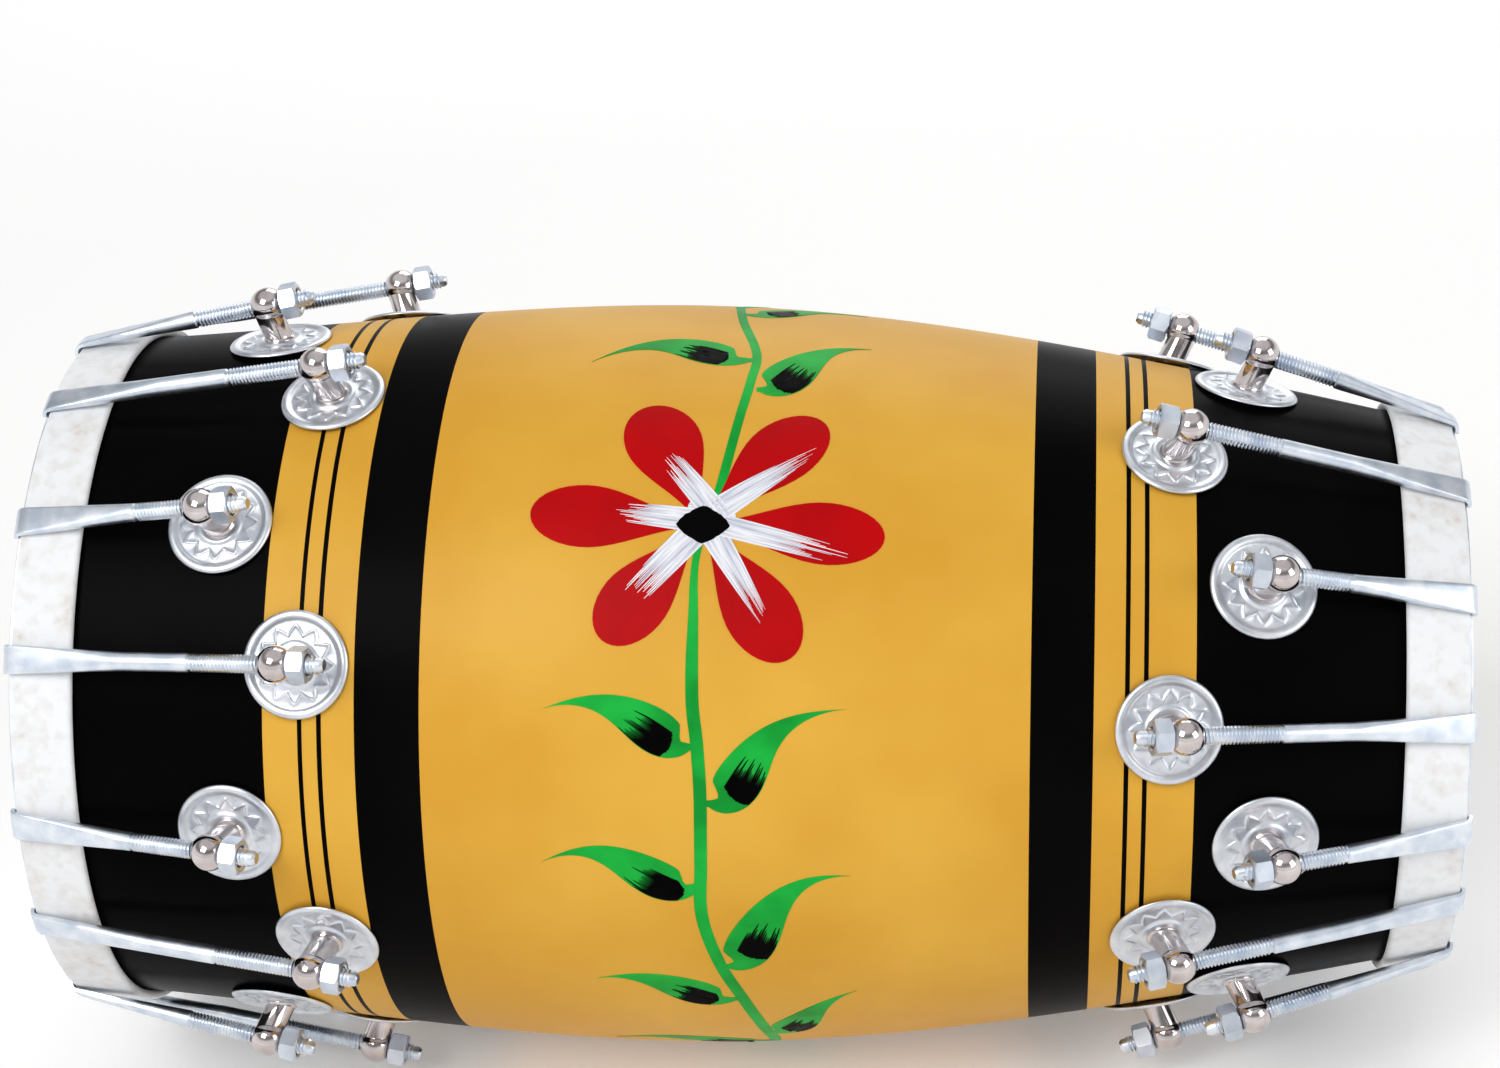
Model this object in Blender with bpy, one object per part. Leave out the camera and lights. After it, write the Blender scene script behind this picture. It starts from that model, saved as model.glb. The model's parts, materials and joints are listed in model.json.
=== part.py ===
"""Dholak: a two-headed barrel drum whose skins are tuned by hooks and nuts.

The drum is modelled along its own X axis, bass head at -X and treble head at +X, with the
middle of the shell at the origin of an empty. That empty is then tilted and lifted, so that
the drum lies on its tuning nuts. All lengths are in metres.
"""
import math

import bmesh
import bpy
from mathutils import Matrix, Vector

# Shell
SHELL_LENGTH = 0.4914
BELLY_RADIUS = 0.136
BELLY_OFFSET = -0.031
BASS_RIM_RADIUS = 0.1213
TREBLE_RIM_RADIUS = 0.0952
SHELL_WALL = 0.011
BEARING_EDGE = 0.003
BASS_WAIST = 0.59
TREBLE_ROUNDING = 0.57

# Painted bands: how far each band of mustard starts and ends from its own end of the shell
BASS_SHOULDER = (0.0877, 0.1197)
TREBLE_SHOULDER = (0.0911, 0.1249)
CENTRE_PANEL = (-0.1035, 0.0999)

# Skins, hoops and the tuning paste
CLEARANCE = 0.0003
SKIN_THICKNESS = 0.0008
COLLAR_WIDTH = 0.021
LAP_SETBACK = 0.0013
HOOP_THICKNESS = 0.0014
HOOP_RISE = 0.0018
PASTE_RADIUS = 0.048
PASTE_SHOULDER_RADIUS = 0.043
PASTE_THICKNESS = 0.003

# Tuning hooks
ROD_RADIUS = 0.003175
ROD_PLAY = 0.0006
BLADE_WIDTH = 0.0102
BLADE_THICKNESS = 0.0019
BLADE_FLAT = 0.86
BLADE_EDGE = 0.4
LIP_THICKNESS = 0.0016
LIP_WELD = 0.0003
BLADE_TAPER = 0.04
STUB_LENGTH = 0.0055

# Eye posts and their plate washers
BALL_RADIUS = 0.0064
BALL_HEIGHT = 0.0145
POST_PULL = 0.0025
NECK_RADIUS = 0.0052
WASHER_RADIUS = 0.0185
WASHER_THICKNESS = 0.0008
WASHER_RISE = 0.0024
WASHER_RING_RADIUS = 0.0085
STUD_RADIUS = 0.003
BACK_NUT_RADIUS = 0.0065
BACK_NUT_HEIGHT = 0.005

# Hex nuts
NUT_ACROSS_FLATS = 0.0113
NUT_THICKNESS = 0.0066
NUT_CHAMFER = 0.0008
NUT_TURN_STEP = 25

# Stations: 16 at each end, every other one far from the rim
STATIONS_PER_END = 16
BASS_FAR_INSET = 0.1022
BASS_NEAR_INSET = 0.0725
TREBLE_FAR_INSET = 0.0995
TREBLE_NEAR_INSET = 0.0698
BASS_FIRST_ANGLE = math.radians(-14.5)
TREBLE_FIRST_ANGLE = math.radians(-20.8)

# Hand-set stations that stray from the even pattern, by number from one: metres further from
# the rim and degrees further round
BASS_STRAYS = {1: (0.0011, -1.0), 2: (0.0017, -3.2), 3: (-0.0026, 1.1), 4: (-0.0031, 0.5),
               5: (-0.001, 2.2), 7: (0.0055, 4.8), 8: (0.0, 6.0), 9: (0.0, 4.5), 10: (0.0, 3.0),
               11: (0.0, 1.5), 15: (0.0014, -4.5), 16: (0.0029, -4.7)}
TREBLE_STRAYS = {1: (0.0006, 4.3), 2: (-0.0031, 0.3), 3: (0.0004, -0.7), 4: (-0.0009, 1.7),
                 5: (-0.0012, 3.9), 6: (0.002, 9.0), 7: (-0.0016, 9.5), 8: (0.0, 13.5),
                 9: (0.0, 10.5), 10: (0.0, 8.0), 11: (0.0, 5.3), 12: (0.0, 2.7),
                 15: (0.0011, 5.5), 16: (0.0023, 4.1)}

# The nuts that the drum lies on: (end, number)
SUPPORTS = (("bass", 13), ("bass", 14), ("treble", 14))

# Fineness of the round shapes, and the places along the drum where its curved lines are cut
DRUM_SIDES = 40
POST_SIDES = 10
ROD_SIDES = 8
PASTE_SIDES = 24
OUTER_CUTS = (-0.195, -0.07, 0.0, 0.032, 0.066, 0.19)
BORE_CUTS = (0.22, 0.13, 0.05, -0.05, -0.13, -0.22)
LAP_BENDS = (math.radians(60), math.radians(120))
SHARP_ANGLE = math.radians(35)

HALF = SHELL_LENGTH / 2
BLACK, MUSTARD, CHROME, WOOD = range(4)


def make_material(name, colour, roughness, metallic=0.0):
    """A plain Principled material in linear RGB."""
    material = bpy.data.materials.new(name)
    material.use_nodes = True
    shader = material.node_tree.nodes["Principled BSDF"]
    shader.inputs["Base Color"].default_value = (*colour, 1.0)
    shader.inputs["Roughness"].default_value = roughness
    shader.inputs["Metallic"].default_value = metallic
    material.diffuse_color = (*colour, 1.0)
    return material


def clear_scene():
    for old in list(bpy.data.objects):
        bpy.data.objects.remove(old, do_unlink=True)


def add_object(name, mesh, materials, parent, matrix=None, hidden=False):
    """Link one named object; a hidden one is a tool shape and no part of the drum."""
    item = bpy.data.objects.new(name, mesh)
    bpy.context.collection.objects.link(item)
    if not mesh.materials:
        for material in materials:
            mesh.materials.append(material)
    item.parent = parent
    if matrix is not None:
        item.matrix_local = matrix
    if hidden:
        item.hide_render = True
        item.display_type = 'WIRE'
    return item


def finish_mesh(bm, name, material_index=0):
    """Close the seams, point the faces outwards and turn the bmesh into a mesh."""
    bmesh.ops.remove_doubles(bm, verts=bm.verts, dist=1e-6)
    bmesh.ops.recalc_face_normals(bm, faces=bm.faces)
    for face in bm.faces:
        face.material_index = material_index
    mesh = bpy.data.meshes.new(name)
    bm.to_mesh(mesh)
    bm.free()
    mesh.shade_smooth()
    mesh.set_sharp_from_angle(angle=SHARP_ANGLE)
    return mesh


def lathe(name, outline, sides, axis='X', closed=False, material_index=0):
    """Spin an outline of (place along the axis, radius) points once round the axis."""
    bm = bmesh.new()
    across = Vector((0, 0, 1)) if axis == 'X' else Vector((1, 0, 0))
    along = Vector((1, 0, 0)) if axis == 'X' else Vector((0, 0, 1))
    points = [bm.verts.new(along * place + across * radius) for place, radius in outline]
    edges = [bm.edges.new(pair) for pair in zip(points, points[1:])]
    if closed:
        edges.append(bm.edges.new((points[-1], points[0])))
    bmesh.ops.spin(bm, geom=points + edges, cent=(0, 0, 0), axis=along,
                   angle=math.tau, steps=sides)
    return finish_mesh(bm, name, material_index)


def merged_mesh(name, pieces, material_index=0):
    """One mesh of several (mesh, matrix) pieces, for a tool shape."""
    bm = bmesh.new()
    for mesh, matrix in pieces:
        piece = mesh.copy()
        piece.transform(matrix)
        bm.from_mesh(piece)
        bpy.data.meshes.remove(piece)
    return finish_mesh(bm, name, material_index)


def add_boolean(target, tool, operation):
    modifier = target.modifiers.new(tool.name, 'BOOLEAN')
    modifier.operation = operation
    modifier.object = tool
    modifier.solver = 'EXACT'


def evaluated_mesh(item, name):
    """The mesh of an object with its modifiers applied."""
    bpy.context.view_layer.update()
    depsgraph = bpy.context.evaluated_depsgraph_get()
    mesh = bpy.data.meshes.new_from_object(item.evaluated_get(depsgraph))
    mesh.name = name
    return mesh


def shell_radius(x):
    """Outer radius of the barrel: full at the belly, drawn in to a rim at each end."""
    if x < BELLY_OFFSET:
        u = (BELLY_OFFSET - x) / (BELLY_OFFSET + HALF)
        drop = BASS_WAIST * u * u * (3 - 2 * u) + (1 - BASS_WAIST) * u * u
        return BELLY_RADIUS - (BELLY_RADIUS - BASS_RIM_RADIUS) * drop
    u = (x - BELLY_OFFSET) / (HALF - BELLY_OFFSET)
    c = TREBLE_ROUNDING
    drop = (math.hypot(u, c) - c) / (math.hypot(1, c) - c)
    return BELLY_RADIUS - (BELLY_RADIUS - TREBLE_RIM_RADIUS) * drop


def shell_slope(x):
    step = 0.0005
    return (shell_radius(x + step) - shell_radius(x - step)) / (2 * step)


class Station:
    """One tuning station, laid out in the plane through the drum's axis, at x and radius r."""

    def __init__(self, side, inset, angle):
        self.side = side
        self.angle = angle
        foot_x = side * (HALF - inset)
        slope = shell_slope(foot_x)
        self.foot = Vector((foot_x, 0, shell_radius(foot_x)))
        self.normal = Vector((-slope, 0, 1)).normalized()
        towards_head = Vector((self.normal.z, 0, -self.normal.x)) * side
        self.ball = self.foot + self.normal * BALL_HEIGHT + towards_head * POST_PULL
        rim_x = side * HALF
        blade_radius = (shell_radius(rim_x) + collar_height() + CLEARANCE
                        + BLADE_THICKNESS / 2)
        self.blade_front = Vector((side * (HALF + HOOP_RISE), 0, blade_radius))
        self.rod_direction = (self.ball - self.blade_front).normalized()

    def turn(self):
        """Turn about the drum's axis that brings +Z to this station's angle.

        The angle is counted from the drum's front, -Y, upwards.
        """
        return Matrix.Rotation(math.pi / 2 - self.angle, 4, 'X')


def collar_height():
    """How far the lapped skin and its hoop stand out from the shell."""
    return 3 * CLEARANCE + 2 * SKIN_THICKNESS + HOOP_THICKNESS


def stations_of(side):
    """The stations of one end, in order round the drum."""
    bass = side < 0
    first = BASS_FIRST_ANGLE if bass else TREBLE_FIRST_ANGLE
    strays = BASS_STRAYS if bass else TREBLE_STRAYS
    far = BASS_FAR_INSET if bass else TREBLE_FAR_INSET
    near = BASS_NEAR_INSET if bass else TREBLE_NEAR_INSET
    stations = []
    for number in range(STATIONS_PER_END):
        further_in, further_round = strays.get(number + 1, (0.0, 0.0))
        even_angle = first + number * math.tau / STATIONS_PER_END
        inset = (near if number % 2 else far) + further_in
        stations.append(Station(side, inset, even_angle + math.radians(further_round)))
    return stations


def placement(origin, z_axis):
    """A frame at a point of the station plane, with its Z along the given direction."""
    y_axis = Vector((0, 1, 0))
    x_axis = y_axis.cross(z_axis).normalized()
    frame = Matrix((x_axis, y_axis, z_axis)).transposed().to_4x4()
    return Matrix.Translation(origin) @ frame


def shell_outline():
    """Closed outline of the wooden shell, out along the surface and back along the bore."""
    bass_edges = [-HALF + inset for inset in BASS_SHOULDER]
    treble_edges = [HALF - inset for inset in TREBLE_SHOULDER]
    collar = HALF - COLLAR_WIDTH
    xs = sorted([-HALF + BEARING_EDGE, -collar, *bass_edges, *CENTRE_PANEL, BELLY_OFFSET,
                 *OUTER_CUTS, *treble_edges, collar, HALF - BEARING_EDGE])
    outer = [(x, shell_radius(x)) for x in xs]
    bore = [(x, shell_radius(x) - SHELL_WALL) for x in BORE_CUTS]
    treble_end = [(HALF, shell_radius(HALF) - BEARING_EDGE),
                  (HALF, shell_radius(HALF) - SHELL_WALL + BEARING_EDGE)]
    bass_end = [(-HALF, shell_radius(-HALF) - SHELL_WALL + BEARING_EDGE),
                (-HALF, shell_radius(-HALF) - BEARING_EDGE)]
    return outer + treble_end + bore + bass_end


def paint_bands(mesh):
    """Give the shell's faces their paint by their place along the drum."""
    mustard = [(-HALF + BASS_SHOULDER[0], -HALF + BASS_SHOULDER[1]), CENTRE_PANEL,
               (HALF - TREBLE_SHOULDER[1], HALF - TREBLE_SHOULDER[0])]
    for face in mesh.polygons:
        x = face.center.x
        radius = math.hypot(face.center.y, face.center.z)
        inside = radius < shell_radius(x) - SHELL_WALL / 2
        if inside or abs(x) > HALF - BEARING_EDGE:
            face.material_index = WOOD
        elif any(low < x < high for low, high in mustard):
            face.material_index = MUSTARD
        else:
            face.material_index = BLACK


def post_outline(seat):
    """Eye post from its ball down to its back nut, as (height over the shell, radius).

    The washer's underside is at the height called seat.
    """
    diagonal = BALL_RADIUS * math.sqrt(0.5)
    neck_drop = math.sqrt(BALL_RADIUS ** 2 - NECK_RADIUS ** 2)
    washer_top = seat + WASHER_THICKNESS
    back = -SHELL_WALL - 3 * CLEARANCE - curve_drop(BACK_NUT_RADIUS)
    return [(BALL_HEIGHT + BALL_RADIUS, 0),
            (BALL_HEIGHT + diagonal, diagonal),
            (BALL_HEIGHT, BALL_RADIUS),
            (BALL_HEIGHT - neck_drop, NECK_RADIUS),
            (seat + WASHER_RISE, NECK_RADIUS),
            (seat + WASHER_RISE, WASHER_RING_RADIUS),
            (washer_top, WASHER_RADIUS),
            (seat, WASHER_RADIUS),
            (seat, STUD_RADIUS),
            (back, STUD_RADIUS),
            (back, BACK_NUT_RADIUS),
            (back - BACK_NUT_HEIGHT, BACK_NUT_RADIUS),
            (back - BACK_NUT_HEIGHT, 0)]


def lean_post(mesh, side, seat):
    """Set the ball over towards the head; the neck below it then leans."""
    neck_base = seat + WASHER_RISE
    for vertex in mesh.vertices:
        if vertex.co.z > neck_base + CLEARANCE:
            vertex.co.x += side * POST_PULL


def curve_drop(reach):
    """How far the bore bends away from a flat piece of this radius set against it."""
    bore = TREBLE_RIM_RADIUS - SHELL_WALL
    return bore - math.sqrt(bore * bore - reach * reach)


def drilled_post(name, station, seat, root, materials):
    """Mesh of an eye post, pulled over by its rod, with its cross hole along the rod."""
    blank = lathe(name, post_outline(seat), POST_SIDES, 'Z')
    lean_post(blank, station.side, seat)
    post = add_object(name + "_blank", blank, materials, root, hidden=True)
    hole_radius = (ROD_RADIUS + ROD_PLAY) / math.cos(math.pi / ROD_SIDES)
    reach = 2 * BALL_RADIUS
    drill = add_object(name + "_drill", lathe(name + "_drill",
                       [(-reach, 0), (-reach, hole_radius), (reach, hole_radius), (reach, 0)],
                       ROD_SIDES, 'Z'), materials, root, hidden=True)
    to_post = placement(station.foot, station.normal).inverted()
    drill.matrix_local = to_post @ placement(station.ball, station.rod_direction)
    add_boolean(post, drill, 'DIFFERENCE')
    mesh = evaluated_mesh(post, name)
    for tool in (post, drill):
        bpy.data.objects.remove(tool, do_unlink=True)
    return mesh


def lap_turn():
    """Middle height and radius of the turn that the skin makes round the hoop's rear edge."""
    skirt = CLEARANCE + SKIN_THICKNESS / 2
    lap = collar_height() - SKIN_THICKNESS / 2
    return (skirt + lap) / 2, (lap - skirt) / 2


def skin_outline(side):
    """Closed outline of a skin: flat membrane, down the rim, round the hoop and back up."""
    half = SKIN_THICKNESS / 2
    middle, turn_radius = lap_turn()
    skirt = middle - turn_radius
    lap = middle + turn_radius
    turn_place = HALF - COLLAR_WIDTH + half + turn_radius

    def surface(place, height):
        return place, shell_radius(side * place) + height

    rim = shell_radius(side * HALF)
    path = [(HALF + skirt, 0.0), (HALF + skirt, rim - BEARING_EDGE),
            surface(HALF - BEARING_EDGE, skirt), surface(turn_place, skirt)]
    path += [surface(turn_place - turn_radius * math.sin(bend),
                     middle - turn_radius * math.cos(bend))
             for bend in LAP_BENDS]
    path += [surface(turn_place, lap), surface(HALF + HOOP_RISE - LAP_SETBACK, lap)]
    outer, inner = offset_pair(path, half)
    return [(side * place, radius) for place, radius in outer + inner[::-1]]


def offset_pair(path, distance):
    """The two lines that run at a distance on both sides of a path, mitred at its corners."""
    left, right = [], []
    for index, (x, r) in enumerate(path):
        before = path[max(index - 1, 0)]
        after = path[min(index + 1, len(path) - 1)]
        legs = []
        for start, end in ((before, (x, r)), ((x, r), after)):
            leg = Vector((end[0] - start[0], end[1] - start[1]))
            if leg.length > 0:
                legs.append(Vector((-leg.y, leg.x)).normalized())
        normal = (legs[0] + legs[-1]).normalized()
        offset = normal * distance / normal.dot(legs[0])
        left.append((x + offset.x, r + offset.y))
        right.append((x - offset.x, r - offset.y))
    return left, right


def hoop_outline(side):
    """Flat iron hoop that the skin is lapped round, its rear edge eased to suit the turn."""
    middle, turn_radius = lap_turn()
    half = HOOP_THICKNESS / 2
    turn_place = HALF - COLLAR_WIDTH + SKIN_THICKNESS / 2 + turn_radius
    inside = (turn_radius - SKIN_THICKNESS / 2) * math.cos(math.pi / 6)
    ease = (inside - CLEARANCE) * math.sqrt(0.5)
    front = HALF + HOOP_RISE
    corners = [(turn_place - ease, middle - ease), (turn_place, middle - half),
               (front, middle - half), (front, middle + half),
               (turn_place, middle + half), (turn_place - ease, middle + ease)]
    return [(side * place, shell_radius(side * place) + height) for place, height in corners]


def rod_section(centre, along, width, thickness, flatness):
    """Eight-sided section square to a direction of the station plane, from round to flat.

    On the flat section BLADE_FLAT and BLADE_EDGE are the plain shares of its width and edge.
    """
    across = Vector((0, 1, 0))
    up = along.cross(across).normalized()
    corner = math.pi / ROD_SIDES
    wide = (1 - flatness) * math.cos(corner) + flatness
    narrow = (1 - flatness) * math.sin(corner) + flatness * BLADE_FLAT
    low = (1 - flatness) * math.sin(corner) + flatness * BLADE_EDGE
    high = (1 - flatness) * math.cos(corner) + flatness
    quarter = [(wide, low), (narrow, high)]
    ring = quarter + [(-a, b) for a, b in reversed(quarter)]
    ring += [(-a, -b) for a, b in ring]
    return [centre + across * (a * width / 2) + up * (b * thickness / 2) for a, b in ring]


def hook_mesh(station):
    """Tuning hook in its station plane: lip, bend, blade, taper and rod up to its stub."""
    side = station.side
    along = station.rod_direction
    front = station.blade_front
    lip_x = side * (HALF + HOOP_RISE - LIP_WELD + LIP_THICKNESS / 2)
    hoop_inner = shell_radius(side * HALF) + 2 * CLEARANCE + SKIN_THICKNESS
    outward = Vector((0, 0, 1))
    bend = (outward + along).normalized()
    tip = Vector((lip_x, 0, hoop_inner + LIP_WELD))
    bend_start = Vector((lip_x, 0, front.z - BLADE_THICKNESS))
    bend_middle = Vector((lip_x - side * LIP_THICKNESS / 3, 0, front.z - BLADE_THICKNESS / 4))
    diameter = 2 * ROD_RADIUS
    nut_end = nut_seat() + NUT_THICKNESS
    rod_end = station.ball + along * (nut_end + STUB_LENGTH)
    rings = [rod_section(tip, outward, BLADE_WIDTH, LIP_THICKNESS, 1),
             rod_section(bend_start, outward, BLADE_WIDTH, LIP_THICKNESS, 1),
             rod_section(bend_middle, bend, BLADE_WIDTH, BLADE_THICKNESS, 1),
             rod_section(front + along * LIP_THICKNESS, along, BLADE_WIDTH, BLADE_THICKNESS, 1),
             rod_section(front + along * BLADE_TAPER, along, diameter, diameter, 0),
             rod_section(rod_end, along, diameter, diameter, 0)]
    bm = bmesh.new()
    loops = [[bm.verts.new(point) for point in ring] for ring in rings]
    for near, far in zip(loops, loops[1:]):
        for index in range(ROD_SIDES):
            after = (index + 1) % ROD_SIDES
            bm.faces.new((near[index], near[after], far[after], far[index]))
    bm.faces.new(loops[0])
    bm.faces.new(loops[-1])
    return finish_mesh(bm, "hook")


def nut_bore_flat():
    """Distance from the nut's axis to the flats of its bore."""
    return ROD_RADIUS + ROD_PLAY


def nut_seat():
    """Distance from the ball's centre to the face of the nut that bears on it."""
    bore = nut_bore_flat()
    return math.sqrt(BALL_RADIUS ** 2 - bore ** 2) + CLEARANCE


def nut_mesh():
    """Hex nut round its own Z axis, with its bearing face at the origin."""
    to_corner = 1 / math.cos(math.pi / 6)
    bore = nut_bore_flat() * to_corner
    corner = NUT_ACROSS_FLATS / 2 * to_corner
    top = NUT_THICKNESS
    outline = [(0, bore), (0, corner), (top - NUT_CHAMFER, corner),
               (top, corner - NUT_CHAMFER), (top, bore)]
    return lathe("nut", outline, 6, 'Z', closed=True)


def build_shell(root, materials):
    """The shell, drilled for the bass studs; the treble posts are one piece with it."""
    mesh = lathe("shell", shell_outline(), DRUM_SIDES, closed=True)
    paint_bands(mesh)
    shell = add_object("shell", mesh, materials, root)
    hole = STUD_RADIUS + CLEARANCE
    reach = 2 * SHELL_WALL
    drill = lathe("stud_drill", [(-reach, 0), (-reach, hole), (reach, hole), (reach, 0)],
                  POST_SIDES, 'Z')
    drills = [(drill, station.turn() @ placement(station.foot, station.normal))
              for station in stations_of(-1)]
    drill_tool = add_object("stud_drills", merged_mesh("stud_drills", drills, WOOD),
                            materials, root, hidden=True)
    add_boolean(shell, drill_tool, 'DIFFERENCE')
    posts = []
    for station in stations_of(1):
        post = drilled_post("treble_eye_post", station, -CLEARANCE, root, materials)
        posts.append((post, station.turn() @ placement(station.foot, station.normal)))
    post_tool = add_object("treble_eye_posts", merged_mesh("treble_eye_posts", posts, CHROME),
                           materials, root, hidden=True)
    add_boolean(shell, post_tool, 'UNION')
    return shell


def build_bass_posts(root, chrome):
    for number, station in enumerate(stations_of(-1)):
        name = f"bass_eye_post_{number + 1:02d}"
        mesh = drilled_post(name, station, CLEARANCE, root, [chrome])
        matrix = station.turn() @ placement(station.foot, station.normal)
        add_object(name, mesh, [chrome], root, matrix)


def build_head(side, label, root, rawhide, steel):
    """Skin, and the hoop with the sixteen hooks that pull on its front edge."""
    skin = lathe(label + "_skin", skin_outline(side), DRUM_SIDES)
    add_object(label + "_skin", skin, [rawhide], root)
    hoop = add_object(label + "_hoop_and_hooks",
                      lathe(label + "_hoop", hoop_outline(side), DRUM_SIDES, closed=True),
                      [steel], root)
    hooks = [(hook_mesh(station), station.turn()) for station in stations_of(side)]
    tool = add_object(label + "_hooks", merged_mesh(label + "_hooks", hooks), [steel], root,
                      hidden=True)
    add_boolean(hoop, tool, 'UNION')


def build_nuts(side, label, root, steel):
    """Each nut stands at its own turn round the rod, as tuning leaves it."""
    mesh = nut_mesh()
    for number, station in enumerate(stations_of(side)):
        seat = station.ball + station.rod_direction * nut_seat()
        phase = Matrix.Rotation(math.radians(NUT_TURN_STEP * number % 60), 4, 'Z')
        matrix = station.turn() @ placement(seat, station.rod_direction) @ phase
        add_object(f"{label}_nut_{number + 1:02d}", mesh, [steel], root, matrix)


def build_paste(root, material):
    """Tuning paste, a flat round cake on the inside of the bass membrane."""
    face = -HALF
    back = face + PASTE_THICKNESS
    outline = [(face, 0), (face, PASTE_RADIUS), (face + PASTE_THICKNESS / 2, PASTE_RADIUS),
               (back, PASTE_SHOULDER_RADIUS), (back, 0)]
    paste = lathe("bass_tuning_paste", outline, PASTE_SIDES)
    add_object("bass_tuning_paste", paste, [material], root)


def solid_points(item):
    """World places of the corners of an object as it is finally shaped."""
    solid = item.evaluated_get(bpy.context.evaluated_depsgraph_get())
    return [solid.matrix_world @ vertex.co for vertex in solid.data.vertices]


def lay_down(root):
    """Turn the drum onto its three lowest nuts, and set its underside over the origin."""
    for _ in range(3):
        bpy.context.view_layer.update()
        feet = [min(solid_points(bpy.data.objects[f"{label}_nut_{number:02d}"]),
                    key=lambda point: point.z) for label, number in SUPPORTS]
        floor_normal = (feet[1] - feet[0]).cross(feet[2] - feet[0]).normalized()
        if floor_normal.z < 0:
            floor_normal.negate()
        level = floor_normal.rotation_difference(Vector((0, 0, 1))).to_matrix().to_4x4()
        root.matrix_world = level @ root.matrix_world
    bpy.context.view_layer.update()
    corners = []
    for item in bpy.data.objects:
        if item.type == 'MESH' and not item.hide_render:
            corners += solid_points(item)
    low = Vector([min(corner[axis] for corner in corners) for axis in range(3)])
    high = Vector([max(corner[axis] for corner in corners) for axis in range(3)])
    root.location -= Vector(((low.x + high.x) / 2, (low.y + high.y) / 2, low.z))
    bpy.context.view_layer.update()


def main():
    clear_scene()
    black = make_material("gloss_black_paint", (0.004, 0.003, 0.003), 0.2)
    mustard = make_material("gloss_mustard_paint", (0.72, 0.38, 0.042), 0.25)
    wood = make_material("bare_wood", (0.42, 0.25, 0.12), 0.6)
    chrome = make_material("chrome_plate", (0.6, 0.58, 0.57), 0.15, 1.0)
    steel = make_material("zinc_plated_steel", (0.5, 0.54, 0.6), 0.3, 1.0)
    rawhide = make_material("rawhide", (0.78, 0.74, 0.69), 0.7)
    paste = make_material("tuning_paste", (0.03, 0.025, 0.02), 0.8)
    root = bpy.data.objects.new("drum", None)
    bpy.context.collection.objects.link(root)
    build_shell(root, [black, mustard, chrome, wood])
    build_bass_posts(root, chrome)
    for side, label in ((-1, "bass"), (1, "treble")):
        build_head(side, label, root, rawhide, steel)
        build_nuts(side, label, root, steel)
    build_paste(root, paste)
    lay_down(root)


main()
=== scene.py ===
# %% [markdown]
# A dholak is a barrel drum with a skin at each end. Its construction is already fixed: the frame that is
# loaded here holds every piece at its real size and place. What is left to do is what a finisher does:
# the turned curve of the barrel, its paint, the rawhide, the plating, the threads and the pressed washers.
# A piece of the frame whose shape is plain is hidden, and the fine piece made here stands for it.

# %% Load the frame
import json
import math
import random

import bpy
from mathutils import Matrix, Vector, noise


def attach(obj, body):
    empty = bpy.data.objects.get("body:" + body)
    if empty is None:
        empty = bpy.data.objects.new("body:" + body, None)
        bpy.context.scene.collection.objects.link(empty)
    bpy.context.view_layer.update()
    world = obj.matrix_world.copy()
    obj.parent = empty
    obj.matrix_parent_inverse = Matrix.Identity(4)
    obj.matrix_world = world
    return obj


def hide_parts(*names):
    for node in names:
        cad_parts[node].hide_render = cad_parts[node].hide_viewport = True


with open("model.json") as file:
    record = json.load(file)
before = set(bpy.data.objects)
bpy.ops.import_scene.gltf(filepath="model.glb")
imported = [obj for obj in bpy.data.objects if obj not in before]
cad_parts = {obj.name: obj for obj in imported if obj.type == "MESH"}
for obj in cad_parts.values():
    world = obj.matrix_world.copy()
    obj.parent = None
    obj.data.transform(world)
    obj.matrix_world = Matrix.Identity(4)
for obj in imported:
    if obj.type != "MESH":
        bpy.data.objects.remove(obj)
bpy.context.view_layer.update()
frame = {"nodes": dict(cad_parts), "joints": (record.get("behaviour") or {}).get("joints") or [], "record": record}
print("pieces in the frame:", len(frame["nodes"]))

# %% [markdown]
# All sizes are in metres, so a size in millimetres is written as so many MM. These are the sizes that
# more than one piece depends on. The barrel is fullest a little to the bass side of its middle and draws
# in to a smaller rim at the treble end.

# %% Sizes of the drum
MM = 0.001
SHELL_LENGTH = 491.4 * MM
HALF = SHELL_LENGTH / 2
BELLY_RADIUS = 136 * MM
BELLY_OFFSET = -31 * MM
BASS_RIM_RADIUS = 121.3 * MM
TREBLE_RIM_RADIUS = 95.2 * MM
SHELL_WALL = 11 * MM
BEARING_EDGE = 3 * MM
BASS_WAIST = 0.59
TREBLE_ROUNDING = 0.57
CLEARANCE = 0.3 * MM
SKIN_THICKNESS = 0.8 * MM
COLLAR_WIDTH = 21 * MM
LAP_SETBACK = 1.3 * MM
HOOP_THICKNESS = 1.4 * MM
HOOP_RISE = 1.8 * MM
ROD_RADIUS = 3.175 * MM
THREAD_PITCH = 1.27 * MM
BALL_RADIUS = 6.4 * MM
BALL_HEIGHT = 14.5 * MM
POST_PULL = 2.5 * MM
SIDES = 192


def shell_radius(x):
    """Outer radius of the barrel at a place along it."""
    if x < BELLY_OFFSET:
        u = (BELLY_OFFSET - x) / (BELLY_OFFSET + HALF)
        drop = BASS_WAIST * u * u * (3 - 2 * u) + (1 - BASS_WAIST) * u * u
        return BELLY_RADIUS - (BELLY_RADIUS - BASS_RIM_RADIUS) * drop
    u = (x - BELLY_OFFSET) / (HALF - BELLY_OFFSET)
    c = TREBLE_ROUNDING
    drop = (math.hypot(u, c) - c) / (math.hypot(1, c) - c)
    return BELLY_RADIUS - (BELLY_RADIUS - TREBLE_RIM_RADIUS) * drop


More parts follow.
